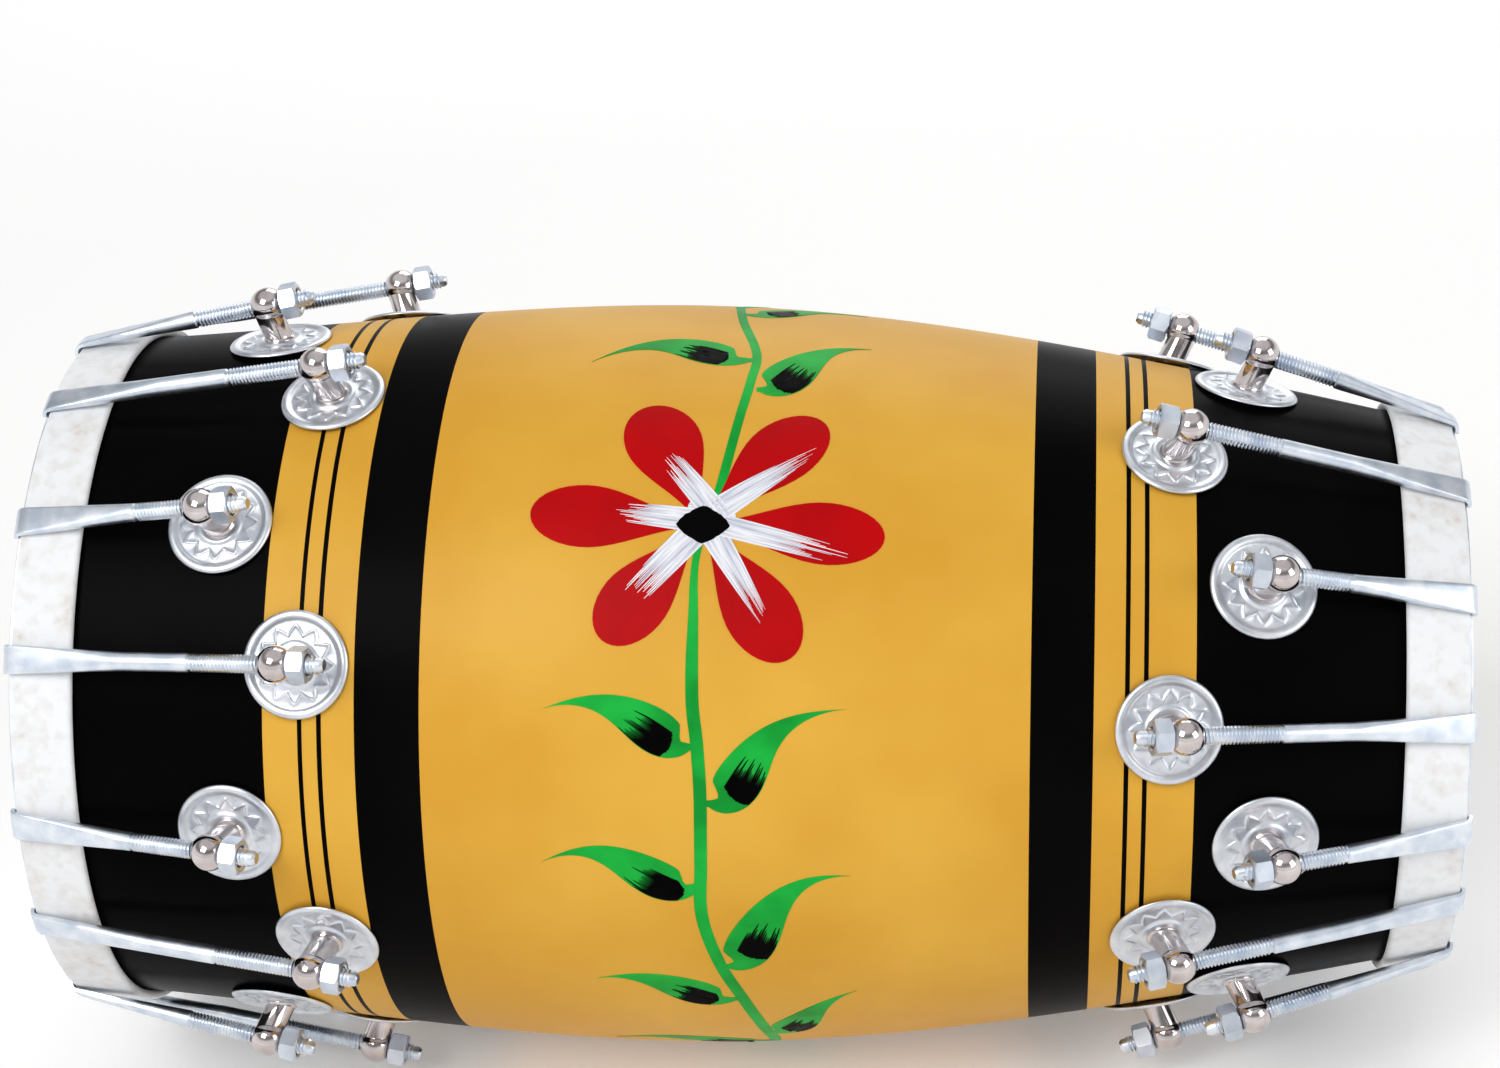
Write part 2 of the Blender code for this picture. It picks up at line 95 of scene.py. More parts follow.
print("belly diameter in mm:", round(2 * BELLY_RADIUS / MM, 1))

# %% [markdown]
# The drum lies on its nuts, so its axis is tilted two or three degrees. Rather than model on the slant,
# every turned piece is made round the X axis at the origin and then carried into place by one matrix. The
# middle of the drum lies halfway between its two head faces. How far it has rolled shows in its first bass
# nut, which stands 15.5 degrees below the painted front.

# %% Place of the drum
mounts = {mount["name"]: mount for mount in frame["record"]["mounts"]}
bass_face = Vector(mounts["bass_head_face"]["pos_m"])
treble_face = Vector(mounts["treble_head_face"]["pos_m"])
middle = (bass_face + treble_face) / 2
along_drum = (treble_face - bass_face).normalized()
joints = {joint["name"]: joint for joint in frame["joints"]}
FIRST_ANGLE = math.radians(-15.5)


def away_from_axis(point):
    """Direction from the drum's axis to a point, square to the axis."""
    reach = point - middle
    return (reach - along_drum * reach.dot(along_drum)).normalized()


first_nut = away_from_axis(Vector(joints["bass_nut_01_turn"]["pos_m"]))
up_drum = first_nut * math.sin(FIRST_ANGLE) - along_drum.cross(first_nut) * math.cos(FIRST_ANGLE)
across_drum = up_drum.cross(along_drum)


def frame_matrix(origin, x_axis, y_axis, z_axis):
    """Matrix that carries the world's axes to these ones, and its origin to a point."""
    return Matrix.Translation(origin) @ Matrix((x_axis, y_axis, z_axis)).transposed().to_4x4()


drum = frame_matrix(middle, along_drum, across_drum, up_drum)
tilt = math.asin(-along_drum.z)
print("tilt of the drum in degrees:", round(math.degrees(tilt), 2))

# %% [markdown]
# Sixteen tuning stations stand round each end. A station is a flat slice through the drum's axis: in it
# lie the eye post, the hook and the nut. Each nut's joint in the frame gives the place where the nut bears
# on its ball and the direction of its rod, and from these follows everything else at that station. The
# maker set some of them by hand, a few millimetres out of line, so stations are told apart by their ball.

# %% Tuning stations
NUT_PLAY = 0.6 * MM
NUT_SEAT = math.sqrt(BALL_RADIUS ** 2 - (ROD_RADIUS + NUT_PLAY) ** 2) + CLEARANCE
STATIONS = 16


class Station:
    """One slice: x runs along the drum, y round it and z outwards, from the drum's middle."""

    def __init__(self, end, number):
        joint = joints[f"{end}_nut_{number:02d}_turn"]
        self.end = end
        self.number = number
        rod = Vector(joint["axis"]).normalized()
        ball = Vector(joint["pos_m"]) - rod * NUT_SEAT
        outward = away_from_axis(ball)
        self.matrix = frame_matrix(middle, along_drum, outward.cross(along_drum), outward)
        to_slice = self.matrix.inverted()
        self.ball = to_slice @ ball
        self.rod = (to_slice.to_3x3() @ rod).normalized()
        self.side = -1 if end == "bass" else 1
        self.far = number % 2 == 1
        self.make = (end, self.far, round(self.ball.x / MM, 1))


stations = {end: [Station(end, number) for number in range(1, STATIONS + 1)] for end in ("bass", "treble")}
all_stations = stations["bass"] + stations["treble"]
for end, places in stations.items():
    print(end, "balls from the middle in mm:", [round(abs(place.ball.x) / MM, 1) for place in places])

# %% [markdown]
# The camera stands where the photographer stood: a little under 80 mm of lens, 1.2 m away, looking down
# at the drum from about 32 degrees. Its place and turn are given in the drum's own directions, for a drum
# seen level, and are then swung up round the drum's axis.

# %% Camera
PICTURE_WIDTH = 1500
FOCAL_PIXELS = 3249
CAMERA_ALONG = 109.2 * MM
CAMERA_DISTANCE = 1203.3 * MM
CAMERA_RISE = math.radians(31.68)
CAMERA_PITCH = math.radians(2.438)
CAMERA_YAW = math.radians(-5.473)
CAMERA_ROLL = math.radians(1.036)

ahead = Vector((math.sin(CAMERA_YAW) * math.cos(CAMERA_PITCH),
                math.cos(CAMERA_YAW) * math.cos(CAMERA_PITCH), math.sin(CAMERA_PITCH)))
level_right = Vector((math.cos(CAMERA_YAW), -math.sin(CAMERA_YAW), 0))
level_up = level_right.cross(ahead)
right = level_right * math.cos(CAMERA_ROLL) + level_up * math.sin(CAMERA_ROLL)
up = level_up * math.cos(CAMERA_ROLL) - level_right * math.sin(CAMERA_ROLL)
swing = Matrix.Rotation(-CAMERA_RISE, 4, 'X')
camera_data = bpy.data.cameras.new("camera")
camera_data.sensor_width = 36
camera_data.lens = FOCAL_PIXELS / PICTURE_WIDTH * camera_data.sensor_width
camera = bpy.data.objects.new("camera", camera_data)
bpy.context.scene.collection.objects.link(camera)
camera.matrix_world = drum @ swing @ frame_matrix(Vector((CAMERA_ALONG, -CAMERA_DISTANCE, 0)),
                                                  right, up, -ahead)
bpy.context.scene.camera = camera
print("lens in mm:", round(camera_data.lens, 1))

# %% [markdown]
# Materials are node trees. One small function adds a node, sets its settings and links its sockets, and
# another turns a written sRGB colour into the linear one that a shader wants. Patterns read Object
# coordinates. Every finished piece keeps its object at the origin, so those are metres in the room, and
# a pattern's scale is one over the size of its grain.

# %% Helpers for materials


def linear(colour):
    """Linear RGBA of an sRGB hex colour such as #DDA63A."""
    shares = [int(colour[place:place + 2], 16) / 255 for place in (1, 3, 5)]
    return (*[s / 12.92 if s <= 0.04045 else ((s + 0.055) / 1.055) ** 2.4 for s in shares], 1)


def add_node(material, kind, sockets=None, **settings):
    """Add a node; a socket takes either a value or another node's output."""
    made = material.node_tree.nodes.new("ShaderNode" + kind)
    for name, value in settings.items():
        setattr(made, name, value)
    for name, value in (sockets or {}).items():
        if isinstance(value, bpy.types.NodeSocket):
            material.node_tree.links.new(value, made.inputs[name])
        else:
            made.inputs[name].default_value = value
    return made


def new_material(name, **sockets):
    """Material with its Principled shader set; returns it, its shader and its coordinates."""
    material = bpy.data.materials.new(name)
    material.use_nodes = True
    shader = material.node_tree.nodes["Principled BSDF"]
    for socket, value in sockets.items():
        shader.inputs[socket.replace("_", " ")].default_value = value
    place = add_node(material, "TexCoord").outputs["Object"]
    return material, shader, place


def two_tone(material, shader, factor, first, second, low=0.35, high=0.65):
    """Base colour that goes from one written colour to another as a pattern rises."""
    ramp = add_node(material, "ValToRGB", {"Fac": factor})
    ramp.color_ramp.elements[0].position = low
    ramp.color_ramp.elements[0].color = linear(first)
    ramp.color_ramp.elements[1].position = high
    ramp.color_ramp.elements[1].color = linear(second)
    material.node_tree.links.new(ramp.outputs["Color"], shader.inputs["Base Color"])
    return ramp


def roughen(material, shader, factor, low, high):
    """Roughness that follows a pattern between two values."""
    spread = add_node(material, "MapRange", {"Value": factor, "To Min": low, "To Max": high})
    material.node_tree.links.new(spread.outputs["Result"], shader.inputs["Roughness"])


def dent(material, shader, height, depth):
    """Bump of a real depth in metres."""
    bump = add_node(material, "Bump", {"Height": height, "Distance": depth, "Strength": 1.0})
    material.node_tree.links.new(bump.outputs["Normal"], shader.inputs["Normal"])


print("mustard in linear light:", [round(share, 3) for share in linear("#DDA63A")])

# %% [markdown]
# Light in a small product studio is a few big soft sources. A wide one high in front makes the soft gleam
# on the paint, one from each side shows the barrel's roundness, and the pale floor fills from below. All of
# it together is so bright that a colour renders about as it is written. The room round them is white low
# down and greyer overhead. What the eye sees of it, straight or in the plating, is brighter than what
# lights the drum: the Light Path node tells the two apart, so the background is white and the paint is not
# washed out. In the plating it has one darker belt, as the room behind a photographer has, because chrome
# only looks like chrome with something dark to mirror.

# %% Light, world and floor
scene = bpy.context.scene
scene.view_settings.view_transform = 'Standard'


def soft_light(name, place, size, power):
    """Square area light of a size in metres that looks at the drum's middle."""
    lamp = bpy.data.lights.new(name, 'AREA')
    lamp.size = size
    lamp.energy = power
    item = bpy.data.objects.new(name, lamp)
    scene.collection.objects.link(item)
    item.location = place
    item.rotation_euler = (Vector(place) - middle).to_track_quat('Z', 'Y').to_euler()
    return item


def seen_rays(tree):
    """One for rays that carry what the eye sees, straight or in a reflection, and else nothing."""
    rays = add_node(tree, "LightPath").outputs
    mirrored = add_node(tree, "Math", {0: rays["Is Glossy Ray"], 1: rays["Is Transmission Ray"]},
                        operation='MAXIMUM')
    seen = add_node(tree, "Math", {0: rays["Is Camera Ray"], 1: mirrored.outputs["Value"]}, operation='MAXIMUM')
    return seen.outputs["Value"]


soft_light("window", (-0.9, -1.5, 1.9), 1.2, 31)
soft_light("side_fill", (1.9, -0.9, 1.1), 1.2, 13)
soft_light("back_fill", (0.2, 1.9, 1.6), 1.5, 16)

world = bpy.data.worlds.new("studio")
scene.world = world
world.use_nodes = True
direction = add_node(world, "TexCoord").outputs["Generated"]
height = add_node(world, "SeparateXYZ", {"Vector": direction}).outputs["Z"]


def between(value, first, last, low, high):
    """A value carried smoothly from one range to another."""
    return add_node(world, "MapRange", {"Value": value, "From Min": first, "From Max": last, "To Min": low,
                                        "To Max": high}, interpolation_type='SMOOTHSTEP').outputs["Result"]


lighting = between(height, 0.05, 0.8, 0.72, 0.26)
belt = between(height, 0.2, 0.5, 1.0, 0.3)
mirrored = between(height, 0.6, 0.85, belt, 0.8)
camera_ray = add_node(world, "LightPath").outputs["Is Camera Ray"]
seen = between(camera_ray, 0, 1, mirrored, 1.0)
strength = add_node(world, "MapRange", {"Value": seen_rays(world), "To Min": lighting, "To Max": seen})
sky = world.node_tree.nodes["Background"]
sky.inputs["Color"].default_value = linear("#FCFDFF")
world.node_tree.links.new(strength.outputs["Result"], sky.inputs["Strength"])

# %% [markdown]
# The barrel is painted with gloss enamel from a tin, by brush, while it turns. The eye sees a deep smooth
# coat with a slight waviness left by the bristles, running round the drum.
# Enamel is a clear binder over pigment, so it is a Principled shader with a fairly low roughness. In black
# paint any reflection shows, and the real one drinks nearly all light, so its specular level is the lowest.
# The ornament is thinner paint, and its shade wanders more quickly.

# %% Enamel paints
BRUSH_MARK = 1.6 * MM
BRUSH_LENGTH = 60 * MM
PAINT_CLOUD = 70 * MM


def enamel(name, colour, shade, roughness, gloss, cloud_size=PAINT_CLOUD):
    """Brushed gloss paint in one colour, with a second shade in soft clouds."""
    material, shader, place = new_material(name, Roughness=roughness, Specular_IOR_Level=gloss)
    cloud = add_node(material, "TexNoise", {"Vector": place, "Scale": 1 / cloud_size, "Detail": 3.0})
    two_tone(material, shader, cloud.outputs["Fac"], colour, shade)
    stretch = add_node(material, "Mapping", {"Vector": place})
    stretch.inputs["Rotation"].default_value = (0, tilt, 0)
    stretch.inputs["Scale"].default_value = (1 / BRUSH_MARK, 1 / BRUSH_LENGTH, 1 / BRUSH_LENGTH)
    marks = add_node(material, "TexNoise", {"Vector": stretch.outputs["Vector"], "Scale": 1.0, "Detail": 2.0})
    roughen(material, shader, cloud.outputs["Fac"], roughness - 0.04, roughness + 0.06)
    dent(material, shader, marks.outputs["Fac"], 0.03 * MM)
    return material


black_enamel = enamel("black_enamel", "#050404", "#080707", 0.3, 0.012)
mustard_enamel = enamel("mustard_enamel", "#E3AE42", "#D9A035", 0.4, 0.12)
red_enamel = enamel("red_enamel", "#BE080E", "#B1070C", 0.4, 0.06, 28 * MM)
green_enamel = enamel("green_enamel", "#1CB441", "#0F8F2F", 0.4, 0.08, 24 * MM)
print("paints:", [material.name for material in bpy.data.materials if "enamel" in material.name])

# %% [markdown]
# Rawhide is scraped, dried goat skin. It is off-white, matt, a little translucent, with greyish clouds
# where the skin was thicker, a few faint brown stains and a fine pebbled grain. Inside the shell the wood
# is bare, with the grain running along the staves' direction.

# %% Rawhide and bare wood
HIDE_CLOUD = 24 * MM
HIDE_MOTTLE = 5 * MM
HIDE_GRAIN = 0.9 * MM
GRAIN_WIDTH = 2.5 * MM
GRAIN_LENGTH = 90 * MM

rawhide, shader, place = new_material("goat_rawhide", Roughness=0.6, Specular_IOR_Level=0.3)
shader.inputs["Subsurface Weight"].default_value = 0.1
shader.inputs["Subsurface Scale"].default_value = 2 * MM
shader.inputs["Subsurface Radius"].default_value = (1.0, 0.8, 0.6)
cloud = add_node(rawhide, "TexNoise", {"Vector": place, "Scale": 1 / HIDE_CLOUD, "Detail": 6.0,
                                       "Roughness": 0.65})
mottle = add_node(rawhide, "TexNoise", {"Vector": place, "Scale": 1 / HIDE_MOTTLE, "Detail": 4.0})
both = add_node(rawhide, "Math", {0: cloud.outputs["Fac"], 1: mottle.outputs["Fac"]}, operation='MULTIPLY')
tones = two_tone(rawhide, shader, both.outputs["Value"], "#E9E7E5", "#F2F3F4", 0.16, 0.28)
stain = tones.color_ramp.elements.new(0.09)
stain.color = linear("#DACEC6")
grain = add_node(rawhide, "TexVoronoi", {"Vector": place, "Scale": 1 / HIDE_GRAIN})
dent(rawhide, shader, grain.outputs["Distance"], 0.05 * MM)

bare_wood, shader, place = new_material("bare_mango_wood", Roughness=0.6, IOR=1.5)
stretch = add_node(bare_wood, "Mapping", {"Vector": place})
stretch.inputs["Scale"].default_value = (1 / GRAIN_LENGTH, 1 / GRAIN_WIDTH, 1 / GRAIN_WIDTH)
grain = add_node(bare_wood, "TexNoise", {"Vector": stretch.outputs["Vector"], "Scale": 1.0, "Detail": 5.0})
two_tone(bare_wood, shader, grain.outputs["Fac"], "#8E6A43", "#C29A68")
roughen(bare_wood, shader, grain.outputs["Fac"], 0.5, 0.7)
dent(bare_wood, shader, grain.outputs["Fac"], 0.2 * MM)
print("soft finishes:", rawhide.name, bare_wood.name)

# %% [markdown]
# The hooks and hoops are mild steel with bright zinc plate: bluish, satin, with faint forging unevenness.
# The nuts have the same plate over machined faces, which makes it duller. The eye posts are chromed, a
# nearly clean mirror that looks darker and warmer than zinc, and the pressed washers have a pale, satin
# nickel plate. Metals keep the default IOR; their colour is the base colour.

# %% Plated metals and the paste
FORGE_MARK = 7 * MM
PLATE_GRAIN = 0.6 * MM



def plating(name, dark, light, smoothest, roughest, grain_depth=0.0):
    """Plated metal that wanders between two tones and two roughnesses, with a fine grain if it has one."""
    material, shader, place = new_material(name, Metallic=1.0)
    marks = add_node(material, "TexNoise", {"Vector": place, "Scale": 1 / FORGE_MARK, "Detail": 4.0})
    two_tone(material, shader, marks.outputs["Fac"], dark, light)
    roughen(material, shader, marks.outputs["Fac"], smoothest, roughest)
    if grain_depth:
        fine = add_node(material, "TexNoise", {"Vector": place, "Scale": 1 / PLATE_GRAIN, "Detail": 3.0})
        dent(material, shader, fine.outputs["Fac"], grain_depth)
    return material


zinc_plate = plating("bright_zinc_plate", "#CAD4E1", "#E6EBF1", 0.28, 0.44, 0.02 * MM)
nut_plate = plating("machined_zinc_plate", "#C0C9D5", "#D6DDE6", 0.36, 0.46, 0.02 * MM)
chrome = plating("chrome_plate", "#BDB3B1", "#D3CBC9", 0.05, 0.12)
nickel = plating("satin_nickel_plate", "#C6CAD1", "#DEE1E6", 0.32, 0.42)

PASTE_LUMP = 9 * MM
paste, shader, place = new_material("tuning_paste", Roughness=0.8)
lumps = add_node(paste, "TexNoise", {"Vector": place, "Scale": 1 / PASTE_LUMP, "Detail": 5.0})
two_tone(paste, shader, lumps.outputs["Fac"], "#14110E", "#2A231C")
dent(paste, shader, lumps.outputs["Fac"], 0.5 * MM)
print("materials:", len(bpy.data.materials))

# %% [markdown]
# Modelling is done with the same operators as by hand. Everything is deselected before a step, because
# an operator acts on all that is selected. A turned piece starts as one vertex, is extruded along its
# outline and spun once round the drum's axis, as it would be on a lathe.

# %% Helpers for modelling


def deselect():
    bpy.ops.object.select_all(action='DESELECT')


def edit(item, kind='VERT', select='DESELECT'):
    """Open an object for editing, with nothing or everything selected."""
    deselect()
    item.select_set(True)
    bpy.context.view_layer.objects.active = item
    bpy.ops.object.mode_set(mode='EDIT')
    bpy.ops.mesh.select_mode(type=kind)
    bpy.ops.mesh.select_all(action=select)


def leave_edit():
    bpy.ops.object.mode_set(mode='OBJECT')


def extrude_by(step):
    bpy.ops.mesh.extrude_region_move(TRANSFORM_OT_translate={"value": tuple(step)})


def tidy(item, smooth=35):
    """Merge doubles, point the faces outwards and shade smooth up to an angle."""
    edit(item, select='SELECT')
    bpy.ops.mesh.remove_doubles(threshold=0.002 * MM)
    bpy.ops.mesh.normals_make_consistent(inside=False)
    leave_edit()
    bpy.ops.object.shade_smooth_by_angle(angle=math.radians(smooth))


def apply_modifier(item, kind, **settings):
    """Add a modifier with its settings and apply it."""
    deselect()
    item.select_set(True)
    bpy.context.view_layer.objects.active = item
    modifier = item.modifiers.new(kind.lower(), kind)
    for name, value in settings.items():
        setattr(modifier, name, value)
    bpy.ops.object.modifier_apply(modifier=modifier.name)


def combine(item, tool, operation):
    """Boolean with another object, which is then deleted."""
    apply_modifier(item, 'BOOLEAN', operation=operation, object=tool, solver='EXACT')
    bpy.data.objects.remove(tool, do_unlink=True)


def turned(name, outline, sides=SIDES, axis=(1, 0, 0), closed=False):
    """Spin an outline of (place, radius) points once round the axis."""
    deselect()
    bpy.ops.mesh.primitive_plane_add(size=MM)
    item = bpy.context.object
    item.name = name
    along = Vector(axis)
    across = Vector((0, 0, 1)) if along.x else Vector((1, 0, 0))
    points = [along * place + across * radius for place, radius in outline]
    edit(item, select='SELECT')
    bpy.ops.mesh.merge(type='CENTER')
    bpy.ops.transform.translate(value=tuple(points[0]))
    for start, end in zip(points, points[1:] + points[:closed]):
        extrude_by(end - start)
    bpy.ops.mesh.select_all(action='SELECT')
    bpy.ops.mesh.spin(steps=sides, angle=math.tau, center=(0, 0, 0), axis=axis)
    leave_edit()
    tidy(item)
    return item


def arc(centre, radius, start, end, steps):
    """Points of an arc in an outline, from one angle in degrees to another."""
    angles = [math.radians(start + (end - start) * step / steps) for step in range(steps + 1)]
    return [(centre[0] + radius * math.cos(a), centre[1] + radius * math.sin(a)) for a in angles]


def finish_piece(item, name, material, body, replaces=(), matrix=None):
    """Put a piece in its place, give it its finish and let it ride on its body."""
    item.name = name
    item.data.name = name
    if matrix is not None:
        item.data.transform(matrix)
    if material is not None:
        item.data.materials.clear()
        item.data.materials.append(material)
    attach(item, body)
    if replaces:
        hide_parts(*replaces)
    return item


def copy_piece(item):
    """Another object with its own copy of the mesh."""
    twin = bpy.data.objects.new(item.name, item.data.copy())
    scene.collection.objects.link(twin)
    return twin


print("sides of a turned piece:", SIDES)

# %% [markdown]
# The shell is one hollowed barrel. Its outline runs out along the curve, over a rounded bearing edge at
# each end, and back along the bore. A ring of the mesh lies on every edge of the painted bands, so the
# paint is simply a material on the faces between two rings: black ends, mustard shoulders with two thin
# black lines, wide black bands and the mustard middle.

# %% Turn and paint the shell
BLACK_BANDS = [(-HALF, -158.0 * MM), (-145.8 * MM, -144.2 * MM), (-139.1 * MM, -137.4 * MM),
               (-126.0 * MM, -103.5 * MM), (99.9 * MM, 120.8 * MM), (131.0 * MM, 132.6 * MM),
               (137.2 * MM, 138.8 * MM), (154.6 * MM, HALF)]
RING_STEP = 9 * MM


def ring_places():
    """Places of the rings: every band edge, with the wide gaps filled in evenly."""
    inner_end = HALF - BEARING_EDGE
    edges = sorted({-inner_end, inner_end, *[x for band in BLACK_BANDS for x in band if abs(x) < inner_end]})
    rings = [edges[0]]
    for low, high in zip(edges, edges[1:]):
        steps = max(1, round((high - low) / RING_STEP))
        rings += [low + (high - low) * (step + 1) / steps for step in range(steps)]
    return rings


def shell_outline():
    rings = ring_places()
    outer = [(x, shell_radius(x)) for x in rings]
    treble_edge = (HALF - BEARING_EDGE, shell_radius(HALF) - BEARING_EDGE)
    bass_edge = (BEARING_EDGE - HALF, shell_radius(-HALF) - BEARING_EDGE)
    bore = [(x, shell_radius(x) - SHELL_WALL) for x in reversed(rings[::3])]
    return (arc(bass_edge, BEARING_EDGE, 180, 100, 4) + outer[1:-1]
            + arc(treble_edge, BEARING_EDGE, 80, 0, 4)
            + [(HALF, bore[0][1] + BEARING_EDGE / 3)] + bore + [(-HALF, bore[-1][1] + BEARING_EDGE / 3)])


shell = turned("painted_shell", shell_outline(), closed=True)
for material in (mustard_enamel, black_enamel, bare_wood):
    shell.data.materials.append(material)
MUSTARD, BLACK, WOOD = range(3)
for face in shell.data.polygons:
    x = face.center.x
    inside = math.hypot(face.center.y, face.center.z) < shell_radius(x) - SHELL_WALL / 2
    banded = any(low < x < high for low, high in BLACK_BANDS)
    face.material_index = WOOD if inside or abs(x) > HALF - BEARING_EDGE else BLACK if banded else MUSTARD
finish_piece(shell, "painted_shell", None, "shell", ["shell"], drum)
print("faces of the shell:", len(shell.data.polygons))

# %% [markdown]
# A skin is soaked, drawn over the rim and lapped round a flat iron hoop. Its mid line runs across the
# head, turns down over the bearing edge, follows the shell, makes a small U-turn behind the hoop and comes
# forward again over it, so the collar shows as a broad pale band. The line is spun and then given its
# thickness. A hide is cut by hand and dries unevenly, so the collar swells a little between its hooks and
# its trimmed front edge wavers.

# %% Skins
collar_height = 3 * CLEARANCE + 2 * SKIN_THICKNESS + HOOP_THICKNESS
skirt_height = CLEARANCE + SKIN_THICKNESS / 2
lap_height = collar_height - SKIN_THICKNESS / 2
turn_height = (skirt_height + lap_height) / 2
turn_radius = (lap_height - skirt_height) / 2
turn_place = HALF - COLLAR_WIDTH + SKIN_THICKNESS / 2 + turn_radius
lap_end = HALF + HOOP_RISE - LAP_SETBACK
LAP_STEPS = 7
EDGE_WAVER = 0.7 * MM
COLLAR_WAVER = 0.35 * MM


def on_surface(side, place, height):
    """Outline point at a height over the shell, at a distance from the middle on one side."""
    return side * place, shell_radius(side * place) + height


def skin_line(side):
    rim = shell_radius(side * HALF)
    face = HALF + skirt_height
    line = [(side * face, rim * share) for share in (0, 0.15, 0.35, 0.55, 0.75, 0.88)]
    over_edge = arc((HALF - BEARING_EDGE, rim - BEARING_EDGE), BEARING_EDGE + skirt_height, 0, 85, 7)
    line += [(side * place, radius) for place, radius in over_edge]
    line += [on_surface(side, HALF - (HALF - turn_place) * share, skirt_height) for share in (0.35, 0.6, 0.8)]
    for bend in range(0, 181, 20):
        angle = math.radians(bend)
        line.append(on_surface(side, turn_place - turn_radius * math.sin(angle),
                               turn_height - turn_radius * math.cos(angle)))
    line += [on_surface(side, turn_place + (lap_end - turn_place) * (step + 1) / LAP_STEPS, lap_height)
             for step in range(LAP_STEPS)]
    return line


def waver(angle, seed, lumps):
    """Smooth wander between -1 and 1 as one goes once round the drum."""
    return noise.noise(Vector((math.cos(angle) * lumps, math.sin(angle) * lumps, seed)))


for end, side in (("bass", -1), ("treble", 1)):
    skin = turned(end + "_rawhide", skin_line(side))
    for vertex in skin.data.vertices:
        place, radius = side * vertex.co.x, math.hypot(vertex.co.y, vertex.co.z)
        lapped = radius > shell_radius(vertex.co.x) + turn_height and place < lap_end + MM
        if lapped:
            angle = math.atan2(vertex.co.z, vertex.co.y)
            share = max(0, (place - turn_place) / (lap_end - turn_place))
            swell = COLLAR_WAVER * waver(angle, 3 + side, 9) * share * (1 - share) * 4
            vertex.co.yz = vertex.co.yz * (1 + abs(swell) / radius)
            vertex.co.x += side * EDGE_WAVER * waver(angle, 7 + side, 6) * share ** 4
    apply_modifier(skin, 'SOLIDIFY', thickness=SKIN_THICKNESS, offset=0, use_even_offset=True)
    tidy(skin, 40)
    finish_piece(skin, end + "_rawhide", rawhide, end + "_head", [end + "_skin"], drum)
    print(end, "skin faces:", len(skin.data.polygons))

# %% [markdown]
# The hoop is a flat iron strap bent into a ring. Only its front edge shows, in the gap between the skin
# that goes under it and the skin that comes back over it. Its edges are eased with a small bevel.

# %% Hoops
HOOP_FRONT_GAP = 0.35 * MM
HOOP_BEVEL = 0.3 * MM
for end, side in (("bass", -1), ("treble", 1)):
    half = HOOP_THICKNESS / 2
    front = HALF + HOOP_RISE - HOOP_FRONT_GAP
    corners = [(turn_place, turn_height - half), (front, turn_height - half),
               (front, turn_height + half), (turn_place, turn_height + half)]
    hoop = turned(end + "_hoop", [on_surface(side, *corner) for corner in corners], closed=True)
    apply_modifier(hoop, 'BEVEL', width=HOOP_BEVEL, segments=2, limit_method='ANGLE',
                   angle_limit=math.radians(40))
    tidy(hoop)
    finish_piece(hoop, end + "_hoop", zinc_plate, end + "_head",
                 [end + "_hoop_and_hooks"], drum)
print("hoops made: 2")

# %% [markdown]
# A tuning hook is a length of quarter-inch rod. One end is hammered flat and bent over, so it can grip
# the hoop; the other end is threaded. It could be lofted from sections, but a smith's way is simpler to
# follow: extrude a round bar ring by ring, press its rings flat with one formula, and then lay the
# straight bar along the bent line of the real hook. The thread is a three-sided ridge wound on a thinner
# core by the Screw modifier, so it is a true helix with the real pitch.

# %% Hooks
HOOK_SIDES = 20
BLADE_WIDTH = 10.2 * MM
BLADE_THICKNESS = 1.9 * MM
LIP_THICKNESS = 1.6 * MM
LIP_BEND = 2.6 * MM
BLADE_TAPER = 41 * MM
THREAD_DEPTH = 0.62 * MM
FAR_THREAD_START = 66 * MM
NEAR_THREAD_START = 43 * MM
NUT_THICKNESS = 6.6 * MM
STUB_LENGTH = 5.5 * MM
END_CHAMFER = 1.1 * MM
FLAT_CORNER = 0.28
lip_place = HALF + HOOP_RISE - CLEARANCE + LIP_THICKNESS / 2
blade_height = collar_height + CLEARANCE + BLADE_THICKNESS / 2


class HookLine:
    """Centre line of a hook in its slice: up the lip, round the bend and along the rod."""

    def __init__(self, station):
        side = station.side
        self.rod = station.rod
        front = Vector((side * (HALF + HOOP_RISE), 0, shell_radius(side * HALF) + blade_height))
        reach = (side * lip_place - front.x) / self.rod.x
        corner = front + self.rod * reach
        self.turn = math.acos(self.rod.z)
        tangent = LIP_BEND * math.tan(self.turn / 2)
        self.tip = Vector((corner.x, 0, shell_radius(side * HALF) + skirt_height + SKIN_THICKNESS))
        self.bend_start = corner - Vector((0, 0, tangent))
        self.bend_end = corner + self.rod * tangent
        self.lip = (self.bend_start - self.tip).length
        self.bend = LIP_BEND * self.turn
        self.side = side
        rod_end = station.ball + self.rod * (NUT_SEAT + NUT_THICKNESS + STUB_LENGTH)
        self.length = self.lip + self.bend + (rod_end - self.bend_end).length

    def at(self, distance):
        """Point and direction of the line at a distance from the lip's tip."""
        if distance <= self.lip:
            return self.tip + Vector((0, 0, distance)), Vector((0, 0, 1))
        if distance >= self.lip + self.bend:
            return self.bend_end + self.rod * (distance - self.lip - self.bend), self.rod
        angle = (distance - self.lip) / LIP_BEND
        inward = Vector((-self.side, 0, 0))
        centre = self.bend_start + inward * LIP_BEND
        direction = inward * math.sin(angle) + Vector((0, 0, 1)) * math.cos(angle)
        return centre - inward * LIP_BEND * math.cos(angle) + Vector((0, 0, LIP_BEND * math.sin(angle))), direction


